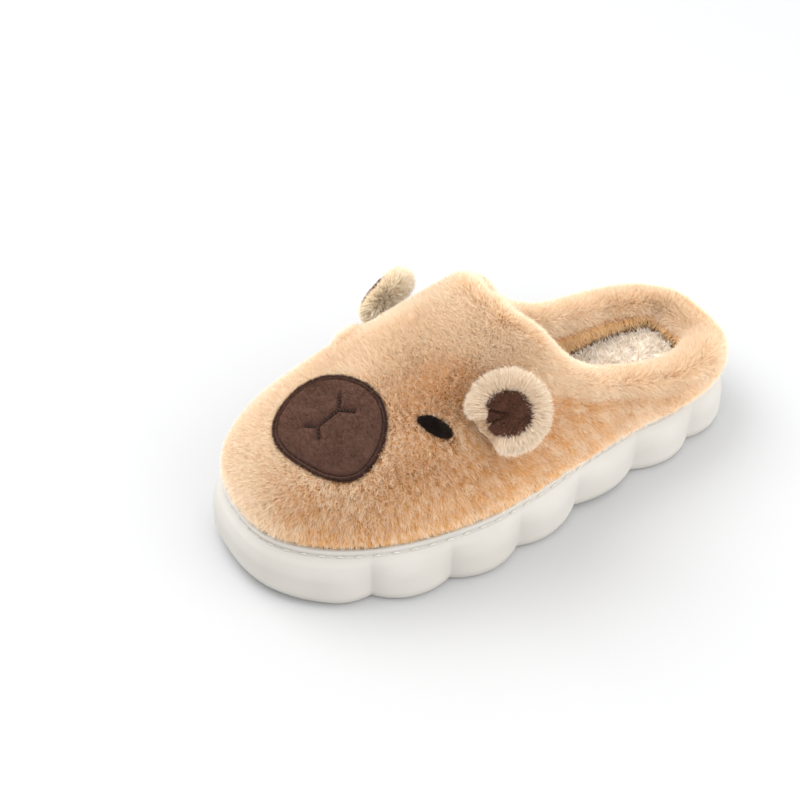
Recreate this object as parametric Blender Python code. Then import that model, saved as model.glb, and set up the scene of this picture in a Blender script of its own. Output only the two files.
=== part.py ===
"""Animal slipper, left foot: a plush closed-toe mule with a nose, eyes and two round ears on a scalloped foam sole.

The frame is +Z up with the toe towards -Y and the lateral side towards +X. The origin is on the floor under the
middle of the whole slipper. Lengths are in millimetres below and become metres when a mesh is made.
"""
import math

import bmesh
import bpy
import numpy as np
from mathutils import Matrix, Vector
from mathutils.bvhtree import BVHTree

MM = 0.001

# Last and outsole outline
SOLE_LENGTH = 264.0
BALL_WIDTH = 113.0
HEEL_WIDTH = 88.5
BALL_LINE = 0.37
HEEL_LINE = 0.74
SWING = 9.5
TOE_SQUARENESS = 2.6
HEEL_SQUARENESS = 2.5

# Outsole
SOLE_HEIGHT = 30.0
SOLE_FLOOR = 24.0
LIP_INSET = 4.6
LIP_WIDTH = 3.4
STITCH_HEIGHT = 26.0
EDGE_ROUND = 5.0
TOE_SPRING = 3.0
TOE_SPRING_LENGTH = 36.0
ARCH_RISE = 2.0
SCALLOP_PITCH = 37.3
SCALLOP_DEPTH = 5.0
FIRST_SCALLOP = 75.0
TREAD_DEPTH = 1.5
TREAD_WIDTH = 3.0
TREAD_PITCH = 14.0

# Upper
CLEARANCE = 0.3
PEAK_RISE = 67.5
COLLAR_RISE = 1.5
HEM_OVERHANG = 8.0
HEM_RISE = 3.0
TOE_WALL = 12.0
COLLAR_WALL = 23.0
THROAT_ROLL = 20.0
SHOULDER = 0.53
MEDIAL_EASE = 0.72
OPENING_FRONT = 120.0
OPENING_BACK = 14.5

# Insole
INSOLE_THICKNESS = 5.0
INSOLE_CROWN = 1.0

# Face: its axis runs along Y, FACE_SIDE to the lateral side of the toe tip
FACE_SIDE = 10.5
PATCH_GAP = 0.8
NOSE_SIDE = 5.0
NOSE_BACK = 45.0
NOSE_WIDTH = 50.5
NOSE_LENGTH = 36.5
NOSE_TURN = 25.0
NOSE_SQUARENESS = 2.25
NOSE_THICKNESS = 4.5
NOSE_RECESS = 3.5
EYE_SIDE = -3.6
EYE_BACK = 79.7
EYE_SPREAD = BALL_WIDTH * 0.3133
EYE_LENGTH = 15.0
EYE_WIDTH = 5.2
EYE_TURN = 45.0
EYE_THICKNESS = 2.0
EYE_RECESS = 3.0
EYE_HOLLOW = 9.0

# Ears
EAR_SIDE = -2.3
EAR_BACK = 109.5
EAR_LEAD = 1.5
EAR_SPREAD = BALL_WIDTH * 0.3646
EAR_STAND = 12.0
EAR_YAW = 56.0
EAR_TILT = 32.0
EAR_RADIUS = 18.2
EAR_THICKNESS = 12.0
EAR_BOWL = 4.0
EAR_LOCKS = 24
EAR_LOCK_LENGTH = 2.0
LINING_RADIUS = 10.5
LINING_THICKNESS = 4.5
LINING_FOLD = 2.0

# Mesh density
AROUND = 96
SOLE_AROUND = 112
WALL_ROWS = 9
ROLL_ROWS = 4
SOFTEN_PASSES = 3

# Centre line and width between the ball and the heel, a row for each station from the toe (0) to the heel (1).
# swing is a share of SWING, waist a share of the width taken off the medial side.
CENTRE_LINE = {
    "station": (0.00, 0.18, 0.34, 0.50, 0.64, 0.80, 1.00),
    "swing": (0.00, 0.66, 1.00, 0.83, 0.66, 0.40, 0.00),
    "waist": (0.00, 0.00, 0.00, 0.05, 0.045, 0.015, 0.00),
}

# The wall, a row for each section from the toe (0) round either side to the heel (1), along the outline.
# aim is the place on the centre line that the section points at, from the front (0) to the back (1) of the opening;
# lean is how far the wall leans from its foot (0) to that place (1). lateral and medial are the rise of the wall's
# middle on each side, from the collar's (0) to the peak's (1), slope its angle in degrees where it meets the rim, and
# pull how far that angle reaches down. thick goes from the toe's wall (0) to the collar's (1), full is the height of
# the rim's roll as a share of half its width, and hem is a share of HEM_OVERHANG.
WALL = {
    "section": (0.00, 0.14, 0.28, 0.40, 0.50, 0.60, 0.72, 0.84, 0.93, 1.00),
    "aim": (0.23, 0.25, 0.33, 0.36, 0.38, 0.42, 0.54, 0.645, 0.67, 0.68),
    "lean": (0.786, 0.77, 0.63, 0.53, 0.38, 0.22, 0.08, 0.03, 0.03, 0.03),
    "lateral": (1.00, 0.99, 0.95, 0.85, 0.63, 0.36, 0.155, 0.07, 0.03, 0.00),
    "medial": (1.00, 0.98, 0.92, 0.80, 0.58, 0.32, 0.13, 0.04, 0.01, 0.00),
    "slope": (24.0, 26.0, 32.0, 41.0, 54.0, 66.0, 80.0, 86.0, 88.0, 88.0),
    "pull": (0.36, 0.37, 0.38, 0.40, 0.40, 0.38, 0.36, 0.36, 0.36, 0.36),
    "thick": (0.00, 0.00, 0.03, 0.12, 0.30, 0.62, 0.90, 1.00, 1.00, 1.00),
    "full": (1.00, 1.00, 1.00, 0.98, 0.94, 0.88, 0.76, 0.64, 0.58, 0.58),
    "hem": (0.50, 0.50, 0.50, 0.55, 0.65, 0.80, 0.95, 1.00, 0.90, 0.70),
}


def smooth_column(table, key, name, at):
    """Reads one column of a table at any place, on a smooth curve that never overshoots its rows."""
    x = np.asarray(table[key], float)
    y = np.asarray(table[name], float)
    step = np.diff(x)
    slope = np.diff(y) / step
    tangent = np.zeros_like(y)
    both = slope[:-1] * slope[1:] > 0
    harmonic = 2.0 * slope[:-1] * slope[1:] / np.where(both, slope[:-1] + slope[1:], 1.0)
    tangent[1:-1] = np.where(both, harmonic, 0.0)
    at = np.clip(np.asarray(at, float), x[0], x[-1])
    row = np.clip(np.searchsorted(x, at, side="right") - 1, 0, len(step) - 1)
    t = (at - x[row]) / step[row]
    rise = y[row] * (1 + 2 * t) * (1 - t) ** 2 + y[row + 1] * t**2 * (3 - 2 * t)
    bend = step[row] * t * (1 - t) * (tangent[row] * (1 - t) - tangent[row + 1] * t)
    return rise + bend


def half_width(station):
    """Half the outsole's width: a blunt half ellipse at the toe and the heel, and a taper between them."""
    station = np.asarray(station, float)
    toe = np.clip((BALL_LINE - station) / BALL_LINE, 0.0, 1.0)
    heel = np.clip((station - HEEL_LINE) / (1.0 - HEEL_LINE), 0.0, 1.0)
    taper = np.clip((station - BALL_LINE) / (HEEL_LINE - BALL_LINE), 0.0, 1.0)
    taper = taper**2 * (3 - 2 * taper)
    width = BALL_WIDTH + (HEEL_WIDTH - BALL_WIDTH) * taper
    width = width * (1.0 - toe**TOE_SQUARENESS) ** (1 / TOE_SQUARENESS)
    width = width * (1.0 - heel**HEEL_SQUARENESS) ** (1 / HEEL_SQUARENESS)
    return width / 2.0


def centre_x(station):
    """The centre line's X at a station: it swings to the lateral side at the ball."""
    return SWING * smooth_column(CENTRE_LINE, "station", "swing", station)


class Outline:
    """The outsole's plan as a closed curve that starts at the toe and runs round the lateral side first."""

    def __init__(self):
        turn = np.linspace(0.0, math.pi, 1200)
        station = (1.0 - np.cos(turn)) / 2.0
        y = SOLE_LENGTH * (station - 0.5)
        middle = centre_x(station)
        half = half_width(station)
        waist = 1.0 - 2.0 * smooth_column(CENTRE_LINE, "station", "waist", station)
        lateral = np.stack([middle + half, y], axis=1)
        medial = np.stack([middle - half * waist, y], axis=1)[::-1]
        self.points = np.concatenate([lateral, medial[1:]])
        steps = np.hypot(*np.diff(self.points, axis=0).T)
        self.lengths = np.concatenate([[0.0], np.cumsum(steps)])
        self.perimeter = self.lengths[-1]
        self.heel_length = self.lengths[len(lateral) - 1]

    def at(self, length):
        """The points at distances along the curve."""
        length = np.mod(length, self.perimeter)
        return np.stack([np.interp(length, self.lengths, self.points[:, i]) for i in (0, 1)], axis=1)

    def inward(self, length):
        """The unit directions into the outline at distances along the curve."""
        reach = 3.0
        ahead = self.at(np.asarray(length) + reach) - self.at(np.asarray(length) - reach)
        ahead /= np.hypot(*ahead.T)[:, None]
        return np.stack([-ahead[:, 1], ahead[:, 0]], axis=1)

    def side_share(self, length):
        """How far each point is from the toe (0) to the heel (1) along its own side."""
        length = np.asarray(length, float)
        back = (self.perimeter - length) / (self.perimeter - self.heel_length)
        return np.where(length <= self.heel_length, length / self.heel_length, back)


def smooth_step(value):
    """Rises from 0 to 1 as the value goes from 0 to 1."""
    value = np.clip(value, 0.0, 1.0)
    return value**2 * (3 - 2 * value)


def soften(values):
    """Evens out values round a closed curve, each with its two neighbours."""
    for _ in range(SOFTEN_PASSES):
        values = (np.roll(values, 1) + 2 * values + np.roll(values, -1)) / 4
    return values


def scallop_notches(outline):
    """The places of the notches: an even pitch along both sides, and even lobes round the heel."""
    side = FIRST_SCALLOP + SCALLOP_PITCH * np.arange(6)
    side = side[side < outline.heel_length - SCALLOP_PITCH / 2]
    last = side[-1]
    span = outline.perimeter - 2 * last
    lobes = max(1, int(span / SCALLOP_PITCH))
    heel = last + span * np.arange(1, lobes) / lobes
    return np.concatenate([side, heel, outline.perimeter - side[::-1]])


def scallop_depth(outline, length, notches):
    """How far the side is pinched in: nothing on a lobe's middle, SCALLOP_DEPTH at a notch."""
    gap = np.abs(np.asarray(length)[:, None] - notches[None, :])
    gap = np.minimum(gap, outline.perimeter - gap).min(axis=1)
    return SCALLOP_DEPTH * np.clip(1.0 - gap / (SCALLOP_PITCH / 2), 0.0, 1.0) ** 2


def sole_lengths(outline, notches):
    """Distances for the sole's vertices: even between notches, with a vertex on each notch."""
    edges = np.concatenate([[0.0], notches, [outline.perimeter]])
    parts = []
    for start, end in zip(edges[:-1], edges[1:]):
        count = max(2, round(SOLE_AROUND * (end - start) / outline.perimeter))
        parts.append(np.linspace(start, end, count, endpoint=False))
    return np.concatenate(parts)


def bottom_height(points):
    """The floor side of the sole: flat under heel and forefoot, lifted at the toe tip and in the arch."""
    from_toe = points[:, 1] + SOLE_LENGTH / 2
    spring = TOE_SPRING * np.clip(1.0 - from_toe / TOE_SPRING_LENGTH, 0.0, 1.0) ** 2
    station = from_toe / SOLE_LENGTH
    arch_start = BALL_LINE + 0.10
    arch = np.clip((station - arch_start) / (HEEL_LINE - arch_start), 0.0, 1.0)
    return spring + ARCH_RISE * np.sin(math.pi * arch) ** 2


def close_rows(rows, start_point=None, end_point=None):
    """Joins closed rows of points into one skin. A row of one point makes a fan there."""
    count = len(rows[0])
    vertices = [tuple(p) for row in rows for p in row]
    faces = []
    for r in range(len(rows) - 1):
        for i in range(count):
            j = (i + 1) % count
            faces.append((r * count + i, r * count + j, (r + 1) * count + j, (r + 1) * count + i))
    last = (len(rows) - 1) * count
    if start_point is not None:
        vertices.append(tuple(start_point))
        faces += [(len(vertices) - 1, (i + 1) % count, i) for i in range(count)]
    if end_point is not None:
        vertices.append(tuple(end_point))
        faces += [(len(vertices) - 1, last + i, last + (i + 1) % count) for i in range(count)]
    return vertices, faces


def make_object(name, vertices, faces, material, collection, smooth=60.0):
    """Makes a mesh object in metres, with its faces turned outwards."""
    mesh = bpy.data.meshes.new(name)
    mesh.from_pydata([(x * MM, y * MM, z * MM) for x, y, z in vertices], [], faces)
    work = bmesh.new()
    work.from_mesh(mesh)
    bmesh.ops.recalc_face_normals(work, faces=work.faces)
    if work.calc_volume(signed=True) < 0:
        bmesh.ops.reverse_faces(work, faces=work.faces)
    work.to_mesh(mesh)
    work.free()
    mesh.materials.append(material)
    mesh.shade_smooth()
    mesh.set_sharp_from_angle(angle=math.radians(smooth))
    made = bpy.data.objects.new(name, mesh)
    collection.objects.link(made)
    return made


def make_material(name, colour, roughness):
    """A plain Principled material."""
    material = bpy.data.materials.new(name)
    material.use_nodes = True
    shader = material.node_tree.nodes["Principled BSDF"]
    shader.inputs["Base Color"].default_value = (*colour, 1.0)
    shader.inputs["Roughness"].default_value = roughness
    shader.inputs["Metallic"].default_value = 0.0
    return material


def with_height(points, height):
    """Adds a height to plan points."""
    return np.column_stack([points, np.broadcast_to(height, len(points))])


def build_outsole(outline, material, collection, cutters):
    """The foam outsole: a scalloped side, a lip round the upper's foot and a flat bed inside it."""
    notches = scallop_notches(outline)
    length = sole_lengths(outline, notches)
    edge = outline.at(length)
    inward = outline.inward(length)
    pinch = scallop_depth(outline, length, notches)
    floor = bottom_height(edge)

    def side_row(inset, height, fade, lift):
        plan = edge + inward * (inset + pinch * fade)[:, None]
        return with_height(plan, height + floor * lift)

    full = np.ones(len(edge))
    rows = []
    middle = np.array([centre_x(0.5), 0.0])
    for share in (0.5, 0.85):
        plan = middle + (edge + inward * EDGE_ROUND - middle) * share
        rows.append(with_height(plan, bottom_height(plan)))
    # The side from the floor up: inset from the outline, height as a share of the stitch line, and scallop left
    profile = (
        (EDGE_ROUND, 0.00, 0.85),
        (EDGE_ROUND * 0.30, 0.05, 1.00),
        (0.0, 0.24, 1.00),
        (LIP_INSET * 0.06, 0.56, 0.85),
        (LIP_INSET * 0.50, 0.86, 0.40),
        (LIP_INSET, 1.00, 0.12),
    )
    for inset, share, fade in profile:
        rows.append(side_row(inset * full, share * STITCH_HEIGHT, fade, 1.0 - share))
    lip_top = SOLE_HEIGHT - STITCH_HEIGHT
    lip = (
        (LIP_INSET + 0.1, STITCH_HEIGHT + lip_top * 0.7),
        (LIP_INSET + LIP_WIDTH * 0.3, SOLE_HEIGHT),
        (LIP_INSET + LIP_WIDTH * 0.8, SOLE_HEIGHT),
        (LIP_INSET + LIP_WIDTH, STITCH_HEIGHT + lip_top * 0.7),
        (LIP_INSET + LIP_WIDTH, SOLE_FLOOR),
    )
    for inset, height in lip:
        rows.append(side_row(inset * full, height, 0.0, 0.0))
    under = (middle[0], middle[1], float(bottom_height(middle[None])[0]))
    vertices, faces = close_rows(rows, under, (middle[0], middle[1], SOLE_FLOOR))
    sole = make_object("outsole", vertices, faces, material, collection)

    # Transverse tread grooves under the forefoot and the heel
    zones = ((0.16, BALL_LINE + 0.05), (HEEL_LINE + 0.02, 0.93))
    bars = bmesh.new()
    for low, high in zones:
        count = max(2, int((high - low) * SOLE_LENGTH / TREAD_PITCH))
        for station in np.linspace(low, high, count):
            wide = 1.1 * float(half_width(station))
            size = Matrix.Diagonal((wide * MM, TREAD_WIDTH * MM, 2 * TREAD_DEPTH * MM, 1.0))
            place = Matrix.Translation((float(centre_x(station)) * MM, SOLE_LENGTH * (station - 0.5) * MM, 0.0))
            bmesh.ops.create_cube(bars, size=1.0, matrix=place @ size)
    cutter_mesh = bpy.data.meshes.new("tread_cutter")
    bars.to_mesh(cutter_mesh)
    bars.free()
    cutter = bpy.data.objects.new("tread_cutter", cutter_mesh)
    cutter.hide_render = True
    cutter.display_type = "WIRE"
    cutters.objects.link(cutter)
    cut = sole.modifiers.new("tread", "BOOLEAN")
    cut.operation = "DIFFERENCE"
    cut.object = cutter
    cut.solver = "FAST"
    return sole


def patch_radius(points, centre, half_x, half_y, squareness, turn=0.0):
    """How far plan points lie from a patch's centre, where 1 is its rim, a blunt ellipse that may be turned."""
    x = points[..., 0] - centre[0]
    y = points[..., 1] - centre[1]
    across = (x * math.cos(turn) + y * math.sin(turn)) / half_x
    along = (y * math.cos(turn) - x * math.sin(turn)) / half_y
    return (np.abs(across) ** squareness + np.abs(along) ** squareness) ** (1 / squareness)


def face_point(back, spread, side, middle=0.0):
    """A plan point of the face: its distance from the toe tip, and to the lateral (1) or medial (-1) side."""
    return np.array([FACE_SIDE + middle + side * spread, back - SOLE_LENGTH / 2])


def face_recess(points):
    """How deep the pile is pressed in round the nose and the eyes."""
    centre = face_point(NOSE_BACK, 0.0, 1, NOSE_SIDE)
    turn = math.radians(NOSE_TURN)
    nose = patch_radius(points, centre, NOSE_WIDTH / 2, NOSE_LENGTH / 2, NOSE_SQUARENESS, turn)
    depth = NOSE_RECESS * (1.0 - smooth_step((nose - 1.1) / 0.4))
    for side in (1, -1):
        eye = face_point(EYE_BACK, EYE_SPREAD, side, EYE_SIDE)
        hollow = patch_radius(points, eye, EYE_HOLLOW, EYE_HOLLOW, 2.0)
        depth = depth + EYE_RECESS * (1.0 - smooth_step(hollow - 0.6))
    return depth


class Wall:
    """The upper's wall as closed sections round the shoe, from the sole's bed over the rim and back down."""

    def __init__(self, outline):
        self.length = outline.perimeter * np.arange(AROUND) / AROUND
        self.edge = outline.at(self.length)
        self.inward = outline.inward(self.length)
        share = outline.side_share(self.length)

        def column(name):
            return soften(smooth_column(WALL, "section", name, share))

        front = OPENING_FRONT - SOLE_LENGTH / 2
        back = SOLE_LENGTH / 2 - OPENING_BACK
        aim_y = front + (back - front) * column("aim")
        self.aim = np.stack([centre_x(aim_y / SOLE_LENGTH + 0.5), aim_y], axis=1)
        self.thick = TOE_WALL + (COLLAR_WALL - TOE_WALL) * column("thick")
        self.roll = THROAT_ROLL + (COLLAR_WALL - THROAT_ROLL) * column("thick")
        on_lateral = self.length <= outline.heel_length
        climb = soften(np.where(on_lateral, column("lateral"), column("medial")))
        self.rise = COLLAR_RISE + (PEAK_RISE - COLLAR_RISE) * climb
        self.full = column("full")
        ease = (1.0 - MEDIAL_EASE) * np.sin(math.pi * np.clip(share / 0.7, 0.0, 1.0))
        self.shoulder = SHOULDER * soften(np.where(on_lateral, 1.0, 1.0 - ease))
        self.lean = column("lean")
        self.slope = np.radians(column("slope"))
        self.pull = column("pull")
        self.foot = LIP_INSET + LIP_WIDTH + CLEARANCE
        self.overhang = HEM_OVERHANG * column("hem")
        self.seat = SOLE_FLOOR + CLEARANCE
        self.hem = SOLE_HEIGHT + CLEARANCE + HEM_RISE

    def middle_surface(self, start):
        """The wall's middle: in each section a cubic curve that leaves the foot upright and meets the rim at its slope.

        Returns rows of points, from the foot to the rim.
        """
        run = self.aim - start
        distance = np.hypot(*run.T)
        toward = run / distance[:, None]
        reach = distance * self.lean
        chord = np.hypot(reach, self.rise) * self.pull
        none = np.zeros_like(reach)
        knots_x = np.stack([none, none, reach - chord * np.cos(self.slope), reach])
        knots_z = np.stack([none, self.shoulder * self.rise, self.rise - chord * np.sin(self.slope), self.rise])
        t = np.linspace(0.0, 1.0, WALL_ROWS)
        share = np.stack([(1 - t) ** 3, 3 * t * (1 - t) ** 2, 3 * t**2 * (1 - t), t**3], axis=1)
        across = share @ knots_x
        height = share @ knots_z + self.hem
        plan = start[None] + toward[None] * across[:, :, None]
        return np.concatenate([plan, height[:, :, None]], axis=2)

    def section_points(self):
        """Each row of the wall's skin, from the seat's outer edge up, over the rim and down to its inner edge."""
        start = self.edge + self.inward * (self.foot - self.overhang + self.thick / 2)[:, None]
        middle = self.middle_surface(start)
        around = np.roll(middle, -1, axis=1) - np.roll(middle, 1, axis=1)
        around /= np.linalg.norm(around, axis=2, keepdims=True)
        climb = np.gradient(middle, axis=0)
        climb[0] = (0.0, 0.0, 1.0)
        outward = np.cross(around, climb)
        outward /= np.linalg.norm(outward, axis=2, keepdims=True)
        grow = smooth_step(np.linspace(0.0, 1.0, WALL_ROWS))[:, None]
        half = (self.thick + (self.roll - self.thick) * grow)[:, :, None] / 2
        outer = middle + outward * half
        inner = middle - outward * half
        outer = outer - outward * face_recess(outer)[:, :, None]

        foot = self.edge + self.inward * self.foot
        hem = self.edge + self.inward * (self.foot - self.overhang * 0.8)[:, None]
        rows = [
            with_height(foot, self.seat),
            with_height(foot, SOLE_HEIGHT + CLEARANCE),
            with_height(hem, SOLE_HEIGHT + CLEARANCE * 2),
        ]
        rows += list(outer)
        over = np.cross(outward[-1], around[-1])
        for turn in np.linspace(0.0, math.pi, ROLL_ROWS + 2)[1:-1]:
            across = outward[-1] * half[-1] * math.cos(turn)
            rows.append(middle[-1] + across + over * half[-1] * self.full[:, None] * math.sin(turn))
        rows += list(inner[::-2])
        rows.append(with_height(inner[0][:, :2], self.seat))
        return rows


def build_upper(wall, material, collection):
    """The plush upper: one hollow wall, open at the collar and underneath."""
    rows = wall.section_points()
    count = AROUND
    vertices, faces = close_rows(rows)
    last = (len(rows) - 1) * count
    faces += [(last + i, last + (i + 1) % count, (i + 1) % count, i) for i in range(count)]
    return make_object("upper", vertices, faces, material, collection)


def build_insole(wall, material, collection):
    """The insole: it fills the upper's foot with a clearance, a little higher in its middle."""
    inner = wall.section_points()[-1][::2, :2]
    ahead = np.roll(inner, -1, axis=0) - np.roll(inner, 1, axis=0)
    ahead /= np.hypot(*ahead.T)[:, None]
    inward = np.stack([-ahead[:, 1], ahead[:, 0]], axis=1)
    edge = inner + inward * CLEARANCE
    middle = np.array([centre_x(0.5), 0.0])
    low = SOLE_FLOOR + CLEARANCE
    high = low + INSOLE_THICKNESS - INSOLE_CROWN
    rows = [
        with_height(middle + (edge - middle) * 0.5, low),
        with_height(edge + inward * 0.8, low),
        with_height(edge, low + 1.0),
        with_height(edge, high - 1.0),
        with_height(edge + inward * 1.0, high),
        with_height(middle + (edge - middle) * 0.6, high + INSOLE_CROWN * 0.7),
    ]
    vertices, faces = close_rows(rows, (*middle, low), (*middle, high + INSOLE_CROWN))
    return make_object("insole", vertices, faces, material, collection)


class Head:
    """The upper's finished skin, which patches and ears are set on."""

    def __init__(self, upper):
        work = bmesh.new()
        work.from_mesh(upper.data)
        self.tree = BVHTree.FromBMesh(work)
        work.free()

    def under(self, plan):
        """The skin's highest point above a plan point, and the direction it faces, in millimetres."""
        start = Vector((plan[0] * MM, plan[1] * MM, 1.0))
        hit, normal, _, _ = self.tree.ray_cast(start, Vector((0.0, 0.0, -1.0)))
        return np.array(hit) / MM, np.array(normal)

    def rest_on(self, points):
        """The same points, with those that lie nearer the skin than the gap, or in it, lifted to the gap."""
        lifted = []
        for point in points:
            nearest, normal, _, _ = self.tree.find_nearest(Vector(point * MM))
            nearest, normal = np.array(nearest) / MM, np.array(normal)
            height = float(np.dot(point - nearest, normal))
            lifted.append(nearest + normal * PATCH_GAP if height < PATCH_GAP else point)
        return np.array(lifted)


def build_patch(name, head, centre, half_x, half_y, squareness, turn, thickness, rings, around, material, collection):
    """A puffed patch that follows the head's skin: polar rings under it and over it."""
    lie = []
    for ring in range(rings, -1, -1):
        radius = ring / rings
        row = []
        for angle in np.arange(around) * 2 * math.pi / around:
            x = half_x * radius * math.copysign(abs(math.cos(angle)) ** (2 / squareness), math.cos(angle))
            y = half_y * radius * math.copysign(abs(math.sin(angle)) ** (2 / squareness), math.sin(angle))
            plan = centre + np.array([
                x * math.cos(turn) - y * math.sin(turn),
                x * math.sin(turn) + y * math.cos(turn),
            ])
            row.append(head.under(plan))
        lie.append((radius, np.array([hit for hit, _ in row]), np.array([facing for _, facing in row])))
    facing = np.mean([np.mean(f, axis=0) for _, _, f in lie], axis=0)
    facing /= np.linalg.norm(facing)
    below = [points + facing * PATCH_GAP for _, points, _ in lie]
    above = [
        points + facing * (PATCH_GAP + thickness * (0.25 + 0.75 * (1.0 - radius**4)))
        for radius, points, _ in lie
    ]
    rows = below[-2::-1] + above[:-1]
    vertices, faces = close_rows(rows, below[-1][0], above[-1][0])
    return make_object(name, vertices, faces, material, collection)


class Ear:
    """One round ear: a furry cup with locks round its rim, and the lining in its bowl."""

    def __init__(self, head, side):
        yaw = math.radians(EAR_YAW)
        tilt = math.radians(EAR_TILT)
        self.facing = np.array([side * math.sin(yaw) * math.cos(tilt), -math.cos(yaw) * math.cos(tilt), math.sin(tilt)])
        self.across = np.array([math.cos(yaw), side * math.sin(yaw), 0.0])
        self.up = np.cross(self.facing, self.across)
        self.up *= math.copysign(1.0, self.up[2])
        self.head = head
        root, _ = head.under(face_point(EAR_BACK + side * EAR_LEAD, EAR_SPREAD, side, EAR_SIDE))
        self.centre = root + self.facing * EAR_STAND

    def ring(self, radius, height, around, wave=0.0):
        """A ring of points about the ear's axis, its radius swelling and shrinking from point to point."""
        angle = np.arange(around) * 2 * math.pi / around
        swell = radius + wave * np.where(np.arange(around) % 2 == 0, 1.0, -1.0)
        flat = np.cos(angle)[:, None] * self.across + np.sin(angle)[:, None] * self.up
        return self.centre + flat * np.broadcast_to(swell, around)[:, None] + self.facing * height

    def build_fur(self, name, material, collection):
        around = 2 * EAR_LOCKS
        bowl = LINING_RADIUS + CLEARANCE
        half = EAR_THICKNESS / 2
        wave = EAR_LOCK_LENGTH / 2
        rows = [
            self.ring(EAR_RADIUS * 0.25, -half, around),
            self.ring(EAR_RADIUS * 0.60, -half, around),
            self.ring(EAR_RADIUS * 0.90, -half * 0.5, around, wave * 0.6),
            self.ring(EAR_RADIUS, 0.0, around, wave),
            self.ring(EAR_RADIUS * 0.93, half * 0.75, around, wave * 0.8),
            self.ring((EAR_RADIUS + bowl) / 2, half, around),
            self.ring(bowl, half * 0.6, around),
            self.ring(bowl, half - EAR_BOWL, around),
        ]
        rows = [self.head.rest_on(row) for row in rows]
        back = self.head.rest_on([self.centre - self.facing * half])[0]
        vertices, faces = close_rows(rows, back, self.centre + self.facing * (half - EAR_BOWL))
        return make_object(name, vertices, faces, material, collection)

    def build_lining(self, name, material, collection):
        around = EAR_LOCKS
        low = EAR_THICKNESS / 2 - EAR_BOWL + CLEARANCE
        angle = np.arange(around) * 2 * math.pi / around
        rows = [self.ring(LINING_RADIUS, low, around)]
        for share, rise in ((1.0, 0.45), (0.86, 0.85), (0.55, 1.0), (0.28, 1.0)):
            fold = LINING_FOLD * np.clip(np.cos(angle - math.radians(200.0)), 0.0, 1.0) ** 6 * (share < 0.9)
            row = self.ring(LINING_RADIUS * share, low, around)
            rows.append(row + self.facing * (LINING_THICKNESS * rise - fold)[:, None])
        top = self.centre + self.facing * (low + LINING_THICKNESS - LINING_FOLD / 2)
        vertices, faces = close_rows(rows, self.centre + self.facing * low, top)
        return make_object(name, vertices, faces, material, collection)


def clear_scene():
    """Removes what the scene starts with."""
    for old in list(bpy.data.objects):
        bpy.data.objects.remove(old)


def stand_on_origin(collection):
    """Parents every piece to an empty that puts the middle of the whole slipper over the origin."""
    bpy.context.view_layer.update()
    corners = [piece.matrix_world @ Vector(corner) for piece in collection.objects for corner in piece.bound_box]
    low = [min(corner[i] for corner in corners) for i in range(3)]
    high = [max(corner[i] for corner in corners) for i in range(3)]
    origin = bpy.data.objects.new("slipper_origin", None)
    origin.location = (-(low[0] + high[0]) / 2, -(low[1] + high[1]) / 2, -low[2])
    for piece in list(collection.objects):
        piece.parent = origin
    return origin


def main():
    clear_scene()
    pieces = bpy.data.collections.new("animal_slipper")
    cutters = bpy.data.collections.new("cutters")
    bpy.context.scene.collection.children.link(pieces)
    bpy.context.scene.collection.children.link(cutters)
    foam = make_material("sole_foam", (0.86, 0.84, 0.80), 0.55)
    plush = make_material("tan_plush", (0.80, 0.58, 0.37), 0.95)
    fleece = make_material("insole_fleece", (0.88, 0.80, 0.66), 0.95)
    velvet = make_material("brown_velvet", (0.10, 0.055, 0.045), 0.85)
    dark = make_material("dark_felt", (0.02, 0.015, 0.012), 0.8)
    cream = make_material("cream_plush", (0.88, 0.74, 0.57), 0.95)

    outline = Outline()
    wall = Wall(outline)
    build_outsole(outline, foam, pieces, cutters)
    upper = build_upper(wall, plush, pieces)
    build_insole(wall, fleece, pieces)

    head = Head(upper)
    nose = face_point(NOSE_BACK, 0.0, 1, NOSE_SIDE)
    build_patch("nose_patch", head, nose, NOSE_WIDTH / 2, NOSE_LENGTH / 2, NOSE_SQUARENESS, math.radians(NOSE_TURN),
                NOSE_THICKNESS, 4, 28, velvet, pieces)
    for side, word in ((1, "lateral"), (-1, "medial")):
        eye = face_point(EYE_BACK, EYE_SPREAD, side, EYE_SIDE)
        turn = side * math.radians(EYE_TURN)
        build_patch(f"eye_patch_{word}", head, eye, EYE_LENGTH / 2, EYE_WIDTH / 2, 2.0, turn,
                    EYE_THICKNESS, 2, 16, dark, pieces)
        ear = Ear(head, side)
        ear.build_fur(f"ear_{word}", cream, pieces)
        ear.build_lining(f"ear_lining_{word}", velvet, pieces)
    bpy.context.scene.collection.objects.link(stand_on_origin(pieces))


main()
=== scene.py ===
"""Dressed model of a plush animal slipper: deep pile, velvet face patches, round ears and a scalloped foam sole.

Lengths are millimetres in the shapes' functions and become metres when a mesh is made. The toe points to -Y and the
lateral side to +X. The surfaces are grids of two parameters, and the pile is tapered blades grown on those grids.
"""
from __future__ import annotations

import logging
import math
from dataclasses import dataclass
from enum import Enum

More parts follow.
